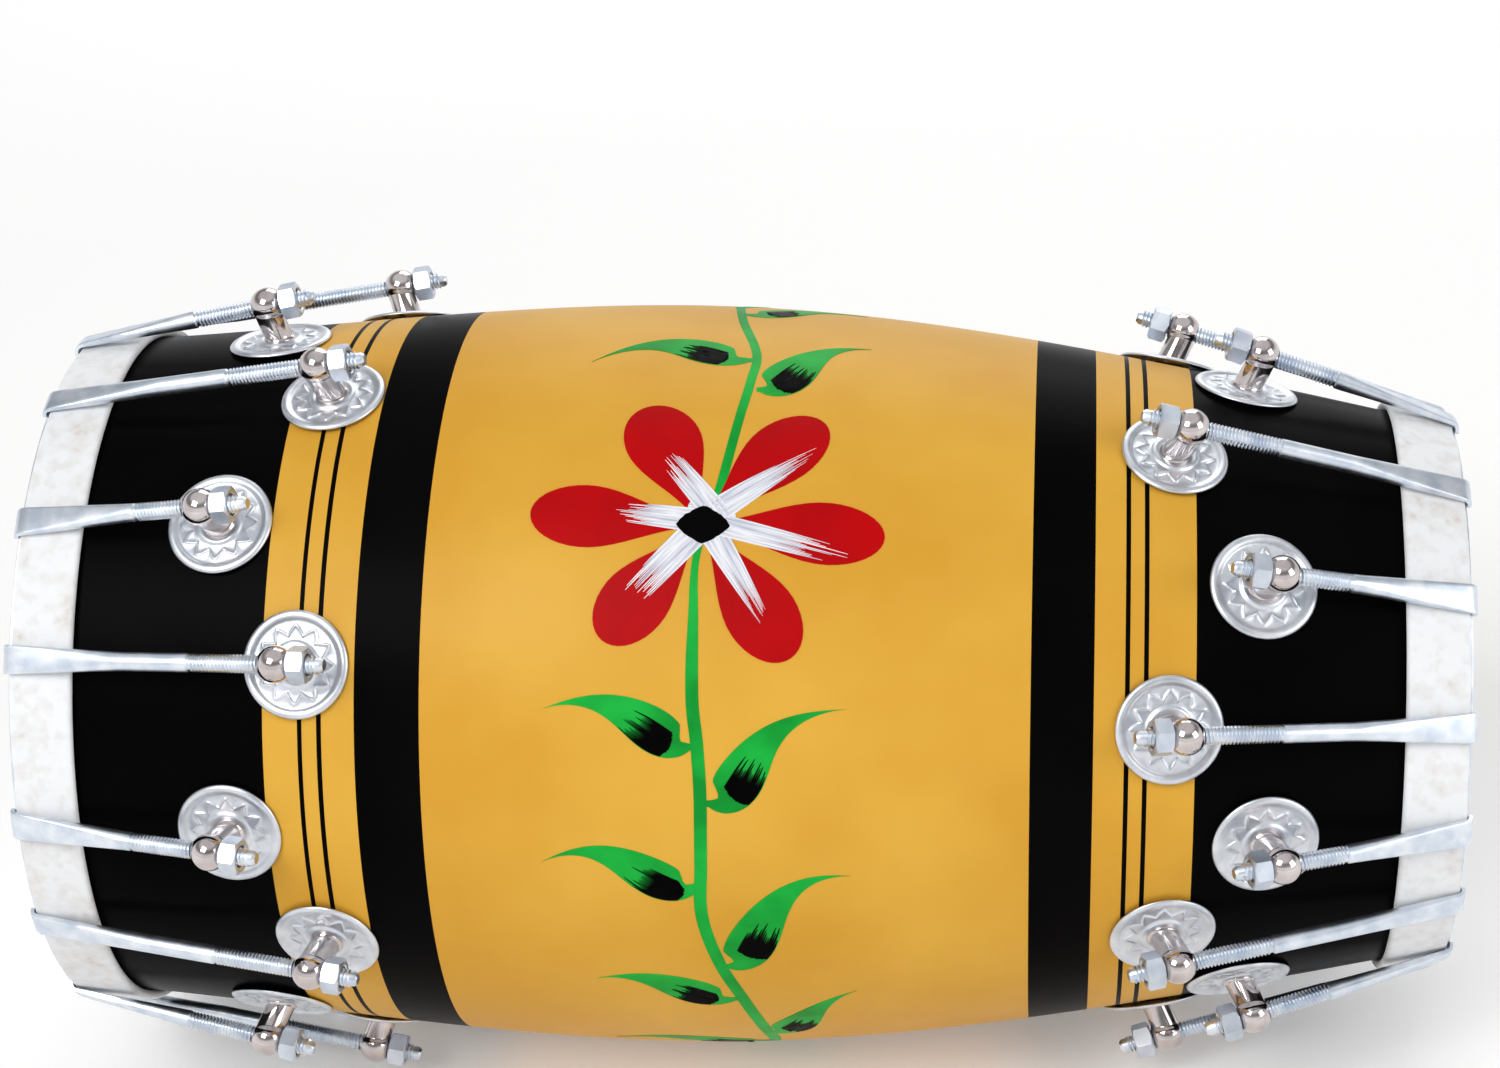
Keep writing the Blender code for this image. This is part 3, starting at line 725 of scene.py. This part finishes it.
def section_size(line, distance, thread_from):
    """Half width, half height and flatness of the bar at a distance from the lip's tip."""
    blade_from = line.lip + line.bend
    share = min(1, max(0, (distance - blade_from) / BLADE_TAPER))
    if distance < blade_from:
        rounding = min(1, 0.86 + 0.14 * distance / (0.6 * MM))
        return BLADE_WIDTH / 2 * rounding, LIP_THICKNESS / 2 * rounding, 1.0
    if distance <= thread_from:
        width = BLADE_WIDTH + (2 * ROD_RADIUS - BLADE_WIDTH) * share ** 0.9
        height = BLADE_THICKNESS + (2 * ROD_RADIUS - BLADE_THICKNESS) * share ** 1.15
        return width / 2, height / 2, 1 - share ** 1.5
    core = ROD_RADIUS - THREAD_DEPTH
    end_ease = min(1, 0.7 + 0.3 * (line.length - distance) / END_CHAMFER)
    return core * end_ease, core * end_ease, 0.0


def bar_rings(line, thread_from):
    """Distances from the lip's tip at which the bar has a ring."""
    blade_from = line.lip + line.bend
    rings = [0, 0.6 * MM] + [line.lip + line.bend * step / 6 for step in range(7)]
    steps = 14
    rings += [blade_from + BLADE_TAPER * (step + 1) / steps for step in range(steps)]
    rings += [thread_from, thread_from + THREAD_DEPTH, line.length - END_CHAMFER, line.length]
    return [ring for ring, before in zip(rings, [-1] + rings) if ring > before + 0.01 * MM]


def pressed(angle, half_width, half_height, flatness):
    """Point on a section that is round at flatness 0 and a bar with eased corners at 1."""
    power = 1 - (1 - FLAT_CORNER) * flatness
    across = math.copysign(abs(math.cos(angle)) ** power, math.cos(angle))
    over = math.copysign(abs(math.sin(angle)) ** power, math.sin(angle))
    return across * half_width, over * half_height


def hook_bar(line, thread_from):
    """Extrude a round bar, press it flat towards its lip and lay it along the hook's line."""
    deselect()
    bpy.ops.mesh.primitive_circle_add(vertices=HOOK_SIDES, radius=ROD_RADIUS, fill_type='NGON')
    bar = bpy.context.object
    edit(bar, 'FACE', 'SELECT')
    rings = bar_rings(line, thread_from)
    for before, after in zip(rings, rings[1:]):
        extrude_by((0, 0, after - before))
    leave_edit()
    for vertex in bar.data.vertices:
        angle = math.atan2(vertex.co.y, vertex.co.x)
        point, direction = line.at(vertex.co.z)
        across, over = pressed(angle, *section_size(line, vertex.co.z, thread_from))
        outward = direction.cross(Vector((0, 1, 0)))
        vertex.co = point + Vector((0, 1, 0)) * across + outward * over
    tidy(bar)
    return bar


def thread_ridge(length):
    """Helical ridge of a screw thread round the Z axis, as long as the threaded part."""
    deselect()
    bpy.ops.mesh.primitive_circle_add(vertices=3, radius=ROD_RADIUS)
    ridge = bpy.context.object
    core = ROD_RADIUS - THREAD_DEPTH - 0.08 * MM
    corners = [(core, 0.02 * MM), (ROD_RADIUS, THREAD_PITCH / 2), (core, THREAD_PITCH - 0.02 * MM)]
    for vertex, (radius, height) in zip(ridge.data.vertices, corners):
        vertex.co = (radius, 0, height)
    apply_modifier(ridge, 'SCREW', axis='Z', angle=math.tau, screw_offset=THREAD_PITCH,
                   iterations=int(length / THREAD_PITCH) - 1, steps=14, render_steps=14,
                   use_merge_vertices=False)
    edit(ridge, 'EDGE')
    bpy.ops.mesh.select_non_manifold()
    bpy.ops.mesh.fill_holes(sides=3)
    leave_edit()
    tidy(ridge, 60)
    return ridge


def make_hook(station):
    line = HookLine(station)
    thread_from = line.lip + line.bend + (FAR_THREAD_START if station.far else NEAR_THREAD_START)
    bar = hook_bar(line, thread_from)
    ridge = thread_ridge(line.length - thread_from - 1.5 * END_CHAMFER)
    start, direction = line.at(thread_from + THREAD_DEPTH / 2)
    ridge.data.transform(frame_matrix(start, Vector((0, 1, 0)).cross(direction), Vector((0, 1, 0)), direction))
    deselect()
    ridge.select_set(True)
    bar.select_set(True)
    bpy.context.view_layer.objects.active = bar
    bpy.ops.object.join()
    return bar


def patterns_for(make_one):
    """One piece for each make of station, from which the others are copied."""
    patterns = {}
    for place in all_stations:
        if place.make not in patterns:
            patterns[place.make] = make_one(place)
    return patterns


def drop(patterns):
    """Delete the pieces that were only there to be copied."""
    for item in patterns:
        bpy.data.objects.remove(item, do_unlink=True)


hooks = patterns_for(make_hook)
for place in all_stations:
    finish_piece(copy_piece(hooks[place.make]), f"{place.end}_hook_{place.number:02d}", zinc_plate,
                 place.end + "_head", matrix=place.matrix)
print("makes of hook:", len(hooks), "faces of one:", len(hooks[all_stations[0].make].data.polygons))
drop(hooks.values())

# %% [markdown]
# Each hook is drawn by a nut that bears on the ball head of an eye post. The post is turned in one piece:
# ball, neck and a stud that goes through the shell to a nut inside. The ball is cross-drilled for the rod.
# A hex nut is a six-sided bar whose corners were turned off, so it is the common part of a hexagonal
# prism and a turned disc, which gives the curved chamfer lines of a real one.

# %% Eye posts and nuts
POST_SIDES = 40
NECK_RADIUS = 5.2 * MM
NECK_FILLET = 1.2 * MM
STUD_RADIUS = 3 * MM
BACK_NUT_FLATS = 11.3 * MM
BACK_NUT_HEIGHT = 5 * MM
ROD_HOLE = ROD_RADIUS + NUT_PLAY
NUT_FLATS = 11.3 * MM
NUT_SLANT = math.radians(30)
NUT_FACE = 0.93
WASHER_TOP = 2 * MM


def hex_nut(name, flats, height, bore):
    """Hex nut round Z, standing on the origin, with turned chamfers at both ends."""
    corner = flats / 2 / math.cos(math.pi / 6)
    deselect()
    bpy.ops.mesh.primitive_cylinder_add(vertices=6, radius=corner, depth=height, location=(0, 0, height / 2))
    nut = bpy.context.object
    nut.data.transform(nut.matrix_world)
    nut.matrix_world = Matrix.Identity(4)
    face = flats / 2 * NUT_FACE
    drop = (corner * 1.02 - face) * math.tan(NUT_SLANT)
    disc = turned(name + "_disc", [(-0.01 * MM, 0), (-0.01 * MM, face), (drop, corner * 1.02),
                                   (height - drop, corner * 1.02), (height + 0.01 * MM, face),
                                   (height + 0.01 * MM, 0)], 48, (0, 0, 1))
    combine(nut, disc, 'INTERSECT')
    ease = 0.5 * MM
    drill = turned(name + "_drill", [(-MM, 0), (-MM, bore + ease + MM), (ease, bore), (height - ease, bore),
                                     (height + MM, bore + ease + MM), (height + MM, 0)], 32, (0, 0, 1))
    combine(nut, drill, 'DIFFERENCE')
    tidy(nut, 30)
    nut.name = name
    return nut


def post_outline():
    """Ball, neck and stud as (height over the shell, radius)."""
    meet = math.degrees(math.asin((NECK_RADIUS + NECK_FILLET * 0.55) / BALL_RADIUS))
    ball = arc((BALL_HEIGHT, 0), BALL_RADIUS, 0, 180 - meet, 16)
    low = ball[-1][0]
    neck = [(low - NECK_FILLET * 0.4, NECK_RADIUS + NECK_FILLET * 0.15), (low - NECK_FILLET, NECK_RADIUS),
            (WASHER_TOP + 0.8 * MM, NECK_RADIUS), (WASHER_TOP + 0.3 * MM, NECK_RADIUS + 0.4 * MM),
            (WASHER_TOP, NECK_RADIUS + 0.5 * MM), (0, NECK_RADIUS + 0.5 * MM), (0, STUD_RADIUS)]
    stud = -SHELL_WALL - BACK_NUT_HEIGHT - 1.4 * MM
    return ball + neck + [(stud, STUD_RADIUS), (stud, 0)]


def make_post(station):
    """Eye post round Z with its foot at the origin, leaning to its head and drilled along its rod."""
    foot = post_foot(station)
    pull = station.side * POST_PULL
    post = turned("post", post_outline(), POST_SIDES, (0, 0, 1))
    for vertex in post.data.vertices:
        lean = (vertex.co.z - WASHER_TOP) / (BALL_HEIGHT - BALL_RADIUS - WASHER_TOP)
        vertex.co.x += pull * min(1, max(0, lean))
    drill = turned("drill", [(-2 * BALL_RADIUS, 0), (-2 * BALL_RADIUS, ROD_HOLE),
                             (2 * BALL_RADIUS, ROD_HOLE), (2 * BALL_RADIUS, 0)], 32, (0, 0, 1))
    rod = (foot.inverted().to_3x3() @ station.rod).normalized()
    y_axis = Vector((0, 1, 0))
    ball = Vector((pull, 0, BALL_HEIGHT))
    drill.data.transform(frame_matrix(ball, y_axis.cross(rod), y_axis, rod))
    combine(post, drill, 'DIFFERENCE')
    back = hex_nut("back_nut", BACK_NUT_FLATS, BACK_NUT_HEIGHT, STUD_RADIUS * 1.02)
    back.data.transform(Matrix.Translation((0, 0, -SHELL_WALL - BACK_NUT_HEIGHT - 0.7 * MM)))
    deselect()
    back.select_set(True)
    post.select_set(True)
    bpy.context.view_layer.objects.active = post
    bpy.ops.object.join()
    bpy.ops.object.shade_smooth_by_angle(angle=math.radians(35))
    return post


def post_foot(station):
    """Frame at the post's foot in its slice, with Z square to the shell."""
    x = station.ball.x
    for _ in range(6):
        slope = (shell_radius(x + 0.5 * MM) - shell_radius(x - 0.5 * MM)) / MM
        normal = Vector((-slope, 0, 1)).normalized()
        x = station.ball.x - normal.x * BALL_HEIGHT - station.side * normal.z * POST_PULL
    foot = Vector((x, 0, shell_radius(x)))
    y_axis = Vector((0, 1, 0))
    return frame_matrix(foot, y_axis.cross(normal), y_axis, normal)


print("nut across flats in mm:", NUT_FLATS / MM)

# %% [markdown]
# Under each post lies a pressed washer, a thin dished plate with a rolled rim, a zigzag sun of twelve
# points and a raised ring round the post. It starts as a circle and is extruded inwards ring by ring. The
# rings of the sun are then pulled in and out by a zigzag, so the pressed ridge follows it crisply with
# few faces, and Solidify makes the sheet.

# %% Pressed washers
WASHER_SIDES = 96
WASHER_POINTS = 12
SUN_SWING = 1.8 * MM
SHEET = 0.6 * MM
RIM = [(18.5, 0.5), (18.4, 0.95), (18.0, 1.4), (17.4, 1.7), (16.6, 1.75), (15.9, 1.6), (15.4, 1.25),
       (15.0, 1.0), (14.6, 0.95)]
SUN = [(12.7, 0.98), (12.3, 1.12), (12.0, 1.4), (11.7, 1.5), (11.4, 1.45), (11.1, 1.2), (10.7, 1.1)]
BOSS = [(8.6, 1.2), (8.3, 1.35), (7.9, 1.75), (7.4, 2.05), (6.9, 2.1), (6.4, 2.0), (6.0, 1.85), (4.6, 1.8)]


def make_washer():
    deselect()
    rings = [(radius * MM, height * MM) for radius, height in RIM + SUN + BOSS]
    bpy.ops.mesh.primitive_circle_add(vertices=WASHER_SIDES, radius=rings[0][0],
                                      location=(0, 0, rings[0][1]))
    washer = bpy.context.object
    washer.data.transform(washer.matrix_world)
    washer.matrix_world = Matrix.Identity(4)
    edit(washer, 'EDGE', 'SELECT')
    for (radius, height), (next_radius, next_height) in zip(rings, rings[1:]):
        extrude_by((0, 0, next_height - height))
        share = next_radius / radius
        bpy.ops.transform.resize(value=(share, share, 1), center_override=(0, 0, 0))
    leave_edit()
    sun_inner, sun_outer = SUN[-1][0] * MM - 0.01 * MM, SUN[0][0] * MM + 0.01 * MM
    for vertex in washer.data.vertices:
        radius = math.hypot(vertex.co.x, vertex.co.y)
        if sun_inner < radius < sun_outer:
            turn = math.atan2(vertex.co.y, vertex.co.x) / math.tau * WASHER_POINTS % 1
            swing = SUN_SWING * (4 * abs(turn - 0.5) - 1)
            vertex.co.xy = vertex.co.xy * (1 + swing / radius)
    tidy(washer, 50)
    if washer.data.polygons[0].normal.z < 0:
        edit(washer, 'FACE', 'SELECT')
        bpy.ops.mesh.flip_normals()
        leave_edit()
    apply_modifier(washer, 'SOLIDIFY', thickness=SHEET, offset=-1)
    return washer


washer = make_washer()
print("washer faces:", len(washer.data.polygons))

# %% [markdown]
# The nuts stand at different turns round their rods, as tuning has left them.

# %% Set the posts, washers and nuts round the drum
NUT_TURN_STEP = 25
nut = hex_nut("nut", NUT_FLATS, NUT_THICKNESS, ROD_HOLE)
posts = patterns_for(make_post)
for place in all_stations:
    end, label = place.end, f"{place.number:02d}"
    foot = place.matrix @ post_foot(place)
    stands_for = [f"bass_eye_post_{label}"] if end == "bass" else []
    finish_piece(copy_piece(posts[place.make]), f"{end}_eye_post_fine_{label}", chrome, "shell",
                 stands_for, foot)
    finish_piece(copy_piece(washer), f"{end}_washer_{label}", nickel, "shell", matrix=foot)
    y_axis = Vector((0, 1, 0))
    turn = Matrix.Rotation(math.radians(NUT_TURN_STEP * (place.number - 1) % 60), 4, 'Z')
    bearing = frame_matrix(place.ball + place.rod * NUT_SEAT, y_axis.cross(place.rod), y_axis, place.rod)
    finish_piece(copy_piece(nut), f"{end}_hex_nut_{label}", nut_plate, f"{end}_nut_{label}",
                 [f"{end}_nut_{label}"], place.matrix @ bearing @ turn)
drop([*posts.values(), washer, nut])

# %% [markdown]
# Across the mustard middle runs a painted vine with a six-petalled flower, a common folk ornament. Each
# stroke of paint is a thin film. Its place is given in two coordinates: x along the drum and the arc
# round the belly, both in millimetres, from the drum's middle and its front. A film starts as a flat
# grid, is shaped by a formula in those two coordinates, rolled onto the barrel and given the thickness of
# paint, with its underside in the wood.

# %% Rolling a flat shape onto the barrel
FILM = 0.12 * MM


def on_barrel(x, arc_length, lift):
    """Point at x along the drum and an arc round its belly, lifted off the surface."""
    angle = arc_length / BELLY_RADIUS
    radius = shell_radius(x) + lift
    return Vector((x, -math.cos(angle) * radius, math.sin(angle) * radius))


def film(shape, lift, steps=(14, 4), keep=None):
    """Grid over -1..1 both ways, shaped by a function of (u, v) with results in millimetres."""
    deselect()
    bpy.ops.mesh.primitive_grid_add(x_subdivisions=steps[0], y_subdivisions=steps[1], size=2)
    item = bpy.context.object
    if keep is not None:
        edit(item, 'FACE')
        leave_edit()
        for face in item.data.polygons:
            face.select = not keep(face.center.x, face.center.y)
        bpy.ops.object.mode_set(mode='EDIT')
        bpy.ops.mesh.delete(type='FACE')
        leave_edit()
    for vertex in item.data.vertices:
        x, arc_length = shape(vertex.co.x, vertex.co.y)
        vertex.co = on_barrel(x * MM, arc_length * MM, lift)
    edit(item, select='SELECT')
    bpy.ops.mesh.remove_doubles(threshold=0.002 * MM)
    leave_edit()
    face = item.data.polygons[len(item.data.polygons) // 2]
    if face.normal.dot(Vector((0, face.center.y, face.center.z))) < 0:
        edit(item, 'FACE', 'SELECT')
        bpy.ops.mesh.flip_normals()
        leave_edit()
    apply_modifier(item, 'SOLIDIFY', thickness=lift + FILM, offset=-1)
    return item


def join_films(films, name, material):
    """One piece of many films, carried to the drum and riding on its shell."""
    deselect()
    for item in films:
        item.select_set(True)
    bpy.context.view_layer.objects.active = films[0]
    bpy.ops.object.join()
    bpy.ops.object.shade_smooth_by_angle(angle=math.radians(40))
    finish_piece(films[0], name, material, "shell", matrix=drum)
    print(name, "faces:", len(films[0].data.polygons))


# %% [markdown]
# The vine is a line through given points, drawn as a smooth curve and widened a little. The side
# of the drum that cannot be seen is taken to carry the same sprig again, half a turn round, which lets the
# vine close on itself.

# %% Shapes of the vine, the leaves and the petals
HALF_TURN = math.pi * BELLY_RADIUS / MM
VINE = [(-8.5, 262), (-4.5, 234), (2.5, 206.6), (2, 190), (0, 172.9), (-5.1, 138.2), (-11.3, 114.5),
        (-11.6, 92.6), (-11.4, 66.2), (-9.7, 50.2), (-8.8, 32.3), (-9.2, 8), (-9.8, -13.1), (-5.2, -36.6),
        (1.9, -61.4), (7, -88), (9, -112), (3, -138), (-8.5, 262 - HALF_TURN)]
VINE_WIDTH = 4.3
VINE_WIDTH_ABOVE = 3.2
VINE_WIDTH_UNDER_FLOWER = 2.4
STALK_WIDTH = 2.2
FLOWER = Vector((-9.8, 125.4))
PETALS = [((-23, 48), 26), ((37.5, 45), 24), ((60.6, -2), 23), ((30.5, -45.5), 24), ((-32, -40.5), 23),
          ((-58.6, 4), 23)]
LEAVES = [((2, 202), (-16.5, 202), (-28.5, 223.5), (-54.7, 199.2), 15),
          ((4.3, 184.5), (17.5, 185.5), (17.5, 215.5), (42, 217), 17),
          ((-11, 50), (-24, 50), (-35, 72), (-61.4, 61.8), 15),
          ((-7, 30.5), (9, 30), (3, 61), (39.6, 63.2), 16),
          ((-9, 0), (-26, -8), (-36, 23), (-63, 7.3), 15),
          ((-3, -39), (9, -38), (8, 6), (41, 2.2), 17),
          ((0, -60), (-16, -60), (-26, -40), (-48, -47.2), 15),
          ((6, -95), (22, -94), (20, -68), (41, -57.5), 15),
          ((8, -116), (-8, -118), (-24, -92), (-48, -108), 13),
          ((-6, 246), (10, 246), (14, 270), (38, 264), 14)]


def bezier(points, t):
    a, b, c, d = [Vector(point) for point in points]
    s = 1 - t
    return a * s ** 3 + b * 3 * s * s * t + c * 3 * s * t * t + d * t ** 3


def smooth_line(points, t):
    """Point on a smooth line through all the points, for t from 0 to 1."""
    spans = len(points) - 1
    place = min(t * spans, spans - 1e-6)
    index = int(place)
    local = place - index
    before, start, end, after = [Vector(points[min(max(index + step, 0), spans)]) for step in (-1, 0, 1, 2)]
    return 0.5 * (2 * start + (end - before) * local + (2 * before - 5 * start + 4 * end - after) * local ** 2
                  + (3 * start - before - 3 * end + after) * local ** 3)


def widened(line, t, offset):
    """Point beside a line, square to it at t."""
    here, ahead_a_bit = line(max(t - 0.01, 0)), line(min(t + 0.01, 1))
    direction = (ahead_a_bit - here).normalized()
    return line(t) + Vector((-direction.y, direction.x)) * offset


def petal_width(t, width):
    """Half width of a petal: a wedge that swells and ends round."""
    fullest = 0.68
    if t < fullest:
        share = t / fullest
        return width / 2 * (0.1 + 0.9 * share * share * (3 - 2 * share))
    return width / 2 * math.sqrt(max(0, 1 - ((t - fullest) / (1 - fullest)) ** 2))


def smooth_step(share):
    share = min(1, max(0, share))
    return share * share * (3 - 2 * share)


def leaf_reach(curve, width, t, v):
    """Signed half width of a leaf: a short stalk, full after it, with a long thin tip.

    The edge that faces up along the vine starts with a notch, where the leaf leaves its stalk.
    """
    half = width / 2 * math.sin(math.pi * t ** 0.62) ** 1.5
    points_left = curve[-1][0] < curve[0][0]
    if (v < 0) == points_left:
        half *= smooth_step((t - 0.09) / 0.1)
    stalk = STALK_WIDTH / 2 * smooth_step((0.4 - t) / 0.2)
    return v * max(half, stalk)


print("sprig: petals", len(PETALS), "leaves", len(LEAVES))

# %% Paint the sprigs
vines, leaves, petals = [], [], []
for shift in (0, HALF_TURN):
    offset = Vector((0, shift))

    def vine_shape(u, v):
        t = (u + 1) / 2
        over_flower = smooth_line(VINE, t).y - FLOWER.y
        width = VINE_WIDTH_ABOVE
        if over_flower < 0:
            width = VINE_WIDTH_UNDER_FLOWER
            width += (VINE_WIDTH - width) * smooth_step((-over_flower - 10) / 45)
        return widened(lambda s: smooth_line(VINE, s), t, v * width / 2) + offset

    vines.append(film(vine_shape, FILM, (150, 2)))
    for *curve, width in LEAVES:
        def leaf_shape(u, v):
            t = (u + 1) / 2
            return widened(lambda s: bezier(curve, s), t, leaf_reach(curve, width, t, v)) + offset

        leaves.append(film(leaf_shape, FILM * 1.3, (44, 6)))
    for reach, width in PETALS:
        def petal_shape(u, v):
            t = (1 - math.cos((u + 1) / 2 * math.pi)) / 2
            return widened(lambda s: FLOWER + Vector(reach) * s, t, v * petal_width(t, width)) + offset

        petals.append(film(petal_shape, FILM * 1.6, (24, 8)))
join_films(vines, "painted_vine", green_enamel)
join_films(leaves, "painted_leaves", green_enamel)
join_films(petals, "painted_petals", red_enamel)

# %% [markdown]
# The flower is finished with a half-dry brush: white strokes from its middle out along the petals, and a
# black patch on the full side of each leaf. A stroke starts solid and breaks up into bristle marks of
# uneven length. A grid gives both: its even columns are bristles and its odd columns are the gaps between
# them, and a gap is kept only as far as the paint ran together. The white is streaky along each stroke, so
# its pattern follows the UV map that came with the grid. A black lozenge covers the middle.

# %% Dry-brush strokes
WHITE_STROKES = [((7, 1), (-14, 26.5), 9, 0.8), ((-1, 1), (37.5, 31.5), 9.6, 0.35),
                 ((0, 1.5), (48.5, -10), 8, 0.8), ((1, 1), (22, -33), 9.2, 0.4),
                 ((2, 2), (-23, -26), 10, 0.9), ((2, 1), (-30, 4.5), 8.8, 0.8)]
MIDDLE_DAB = Vector((2, 2.5))
MIDDLE_DAB_RADIUS = 8.5
STREAKS = 9
STREAK_LENGTHS = 1.6
BLACK_PATCHES = [(0.16, 0.52), (0.16, 0.5), (0.17, 0.56), (0.2, 0.52), (0.12, 0.52), (0.22, 0.5), (0.14, 0.52),
                 (0.2, 0.52), (0.14, 0.48), (0.2, 0.5)]
PATCH_LOW, PATCH_HIGH = -0.4, 0.97
BRISTLES = 15
random.seed(5)


def stroke(place, lift, steps=16):
    """Brush stroke over (along, across) in 0..1 and -0.5..0.5, whose bristles part towards its end."""
    columns = 2 * BRISTLES - 1
    reach = [0.66 + 0.34 * random.random() for _ in range(BRISTLES)]
    rounding = [(2 * (bristle + 0.5) / BRISTLES - 1) ** 2 for bristle in range(BRISTLES)]
    begin = [0.03 * random.random() + 0.1 * bend for bend in rounding]
    joined = [0.4 + 0.35 * random.random() for _ in range(BRISTLES)]

    def shape(u, v):
        t = (u + 1) / 2
        line = round((v + 1) / 2 * columns)
        bristle = min(line // 2, BRISTLES - 1)
        middle_of = (bristle + 0.5) / BRISTLES - 0.5
        edge = (0.5 if line % 2 else -0.5) / BRISTLES
        thin = min(1, (1 - t) / 0.35) ** 0.7
        along = begin[bristle] + (reach[bristle] - begin[bristle]) * t
        return place(along, middle_of + edge * (0.3 + 0.7 * thin))

    def keep(u, v):
        column = int((v + 1) / 2 * columns)
        return column % 2 == 0 or (u + 1) / 2 < joined[column // 2]

    return film(shape, lift, (steps, columns), keep)


def straight(start, end, width, tip_share, offset):
    """Place on a straight stroke in millimetres that narrows to a share of its width."""
    start, end = FLOWER + Vector(start), FLOWER + Vector(end)
    side_step = Vector((-(end - start).y, (end - start).x)).normalized()

    def place(along, across):
        spread = width * (1 + (tip_share - 1) * along ** 1.5)
        return start + (end - start) * along + side_step * across * spread + offset

    return place


def on_leaf(leaf, patch, offset):
    """Place on the full side of a leaf, from near its stalk towards its tip."""
    *curve, width = leaf
    first, last = patch
    full_side = 1 if curve[-1][0] < curve[0][0] else -1

    def place(along, across):
        t = first + (last - first) * along
        v = full_side * (PATCH_LOW + (PATCH_HIGH - PATCH_LOW) * (across + 0.5))
        return widened(lambda s: bezier(curve, s), t, leaf_reach(curve, width, t, v)) + offset

    return place


white_enamel, shader, _ = new_material("white_enamel", Roughness=0.45, Specular_IOR_Level=0.2)
stroke_place = add_node(white_enamel, "TexCoord").outputs["UV"]
stretch = add_node(white_enamel, "Mapping", {"Vector": stroke_place})
stretch.inputs["Scale"].default_value = (STREAK_LENGTHS, STREAKS, 1)
streaks = add_node(white_enamel, "TexNoise", {"Vector": stretch.outputs["Vector"], "Scale": 1.0, "Detail": 3.0})
two_tone(white_enamel, shader, streaks.outputs["Fac"], "#F3F3F7", "#B4B9CB", 0.4, 0.66)

white, black = [], []
for shift in (0, HALF_TURN):
    offset = Vector((0, shift))
    for start, end, width, tip_share in WHITE_STROKES:
        white.append(stroke(straight(start, end, width, tip_share, offset), FILM * 2.2))
    for leaf, patch in zip(LEAVES, BLACK_PATCHES):
        black.append(stroke(on_leaf(leaf, patch, offset), FILM * 2))

    def white_dab(u, v):
        angle = math.atan2(v, u)
        reach = MIDDLE_DAB_RADIUS * (1 + 0.12 * waver(angle, shift + 5, 3)) * max(abs(u), abs(v))
        return FLOWER + MIDDLE_DAB + Vector((math.cos(angle), math.sin(angle))) * reach + offset

    def black_eye(u, v):
        angle = math.atan2(v, u)
        square = max(abs(u), abs(v))
        lozenge = 1 / (abs(math.cos(angle)) ** 1.3 + abs(math.sin(angle)) ** 1.3) ** (1 / 1.3)
        ragged = 1 + 0.06 * waver(angle, shift, 4)
        return FLOWER + Vector((math.cos(angle) * 9, math.sin(angle) * 6.9)) * lozenge * square * ragged + offset

    white.append(film(white_dab, FILM * 2, (16, 16)))
    black.append(film(black_eye, FILM * 3.2, (16, 16)))
join_films(white, "white_brush_strokes", white_enamel)
join_films(black, "black_brush_strokes", black_enamel)

# %% [markdown]
# The paste on the inside of the bass skin keeps its own shape and only needs its finish. The floor is a
# sheet of white paper, and is not part of the drum. A little glow that only the eye sees lifts it to the
# white of a product picture and leaves the drum's shadow on it. It grows away from the lamps, so the paper
# stays white to the horizon.

# %% Paste and floor
tuning_paste = frame["nodes"]["bass_tuning_paste"]
tuning_paste.data.materials.clear()
tuning_paste.data.materials.append(paste)

PAPER_FIBRE = 3 * MM
PAPER_GLOW = 0.2
FAR_PAPER_GLOW = 0.62
paper, shader, place = new_material("white_paper", Roughness=0.9, Specular_IOR_Level=0.1)
fibre = add_node(paper, "TexNoise", {"Vector": place, "Scale": 1 / PAPER_FIBRE, "Detail": 2.0})
two_tone(paper, shader, fibre.outputs["Fac"], "#F4F3F2", "#F6F5F4")
distance = add_node(paper, "VectorMath", {0: place}, operation='LENGTH')
growing = add_node(paper, "MapRange", {"Value": distance.outputs["Value"], "From Min": 0.9, "From Max": 3.5,
                                       "To Min": PAPER_GLOW, "To Max": FAR_PAPER_GLOW})
glow = add_node(paper, "Math", {0: seen_rays(paper), 1: growing.outputs["Result"]}, operation='MULTIPLY')
shader.inputs["Emission Color"].default_value = (1, 1, 1, 1)
paper.node_tree.links.new(glow.outputs["Value"], shader.inputs["Emission Strength"])
deselect()
bpy.ops.mesh.primitive_plane_add(size=12)
floor = bpy.context.object
floor.name = "floor"
floor.data.materials.append(paper)
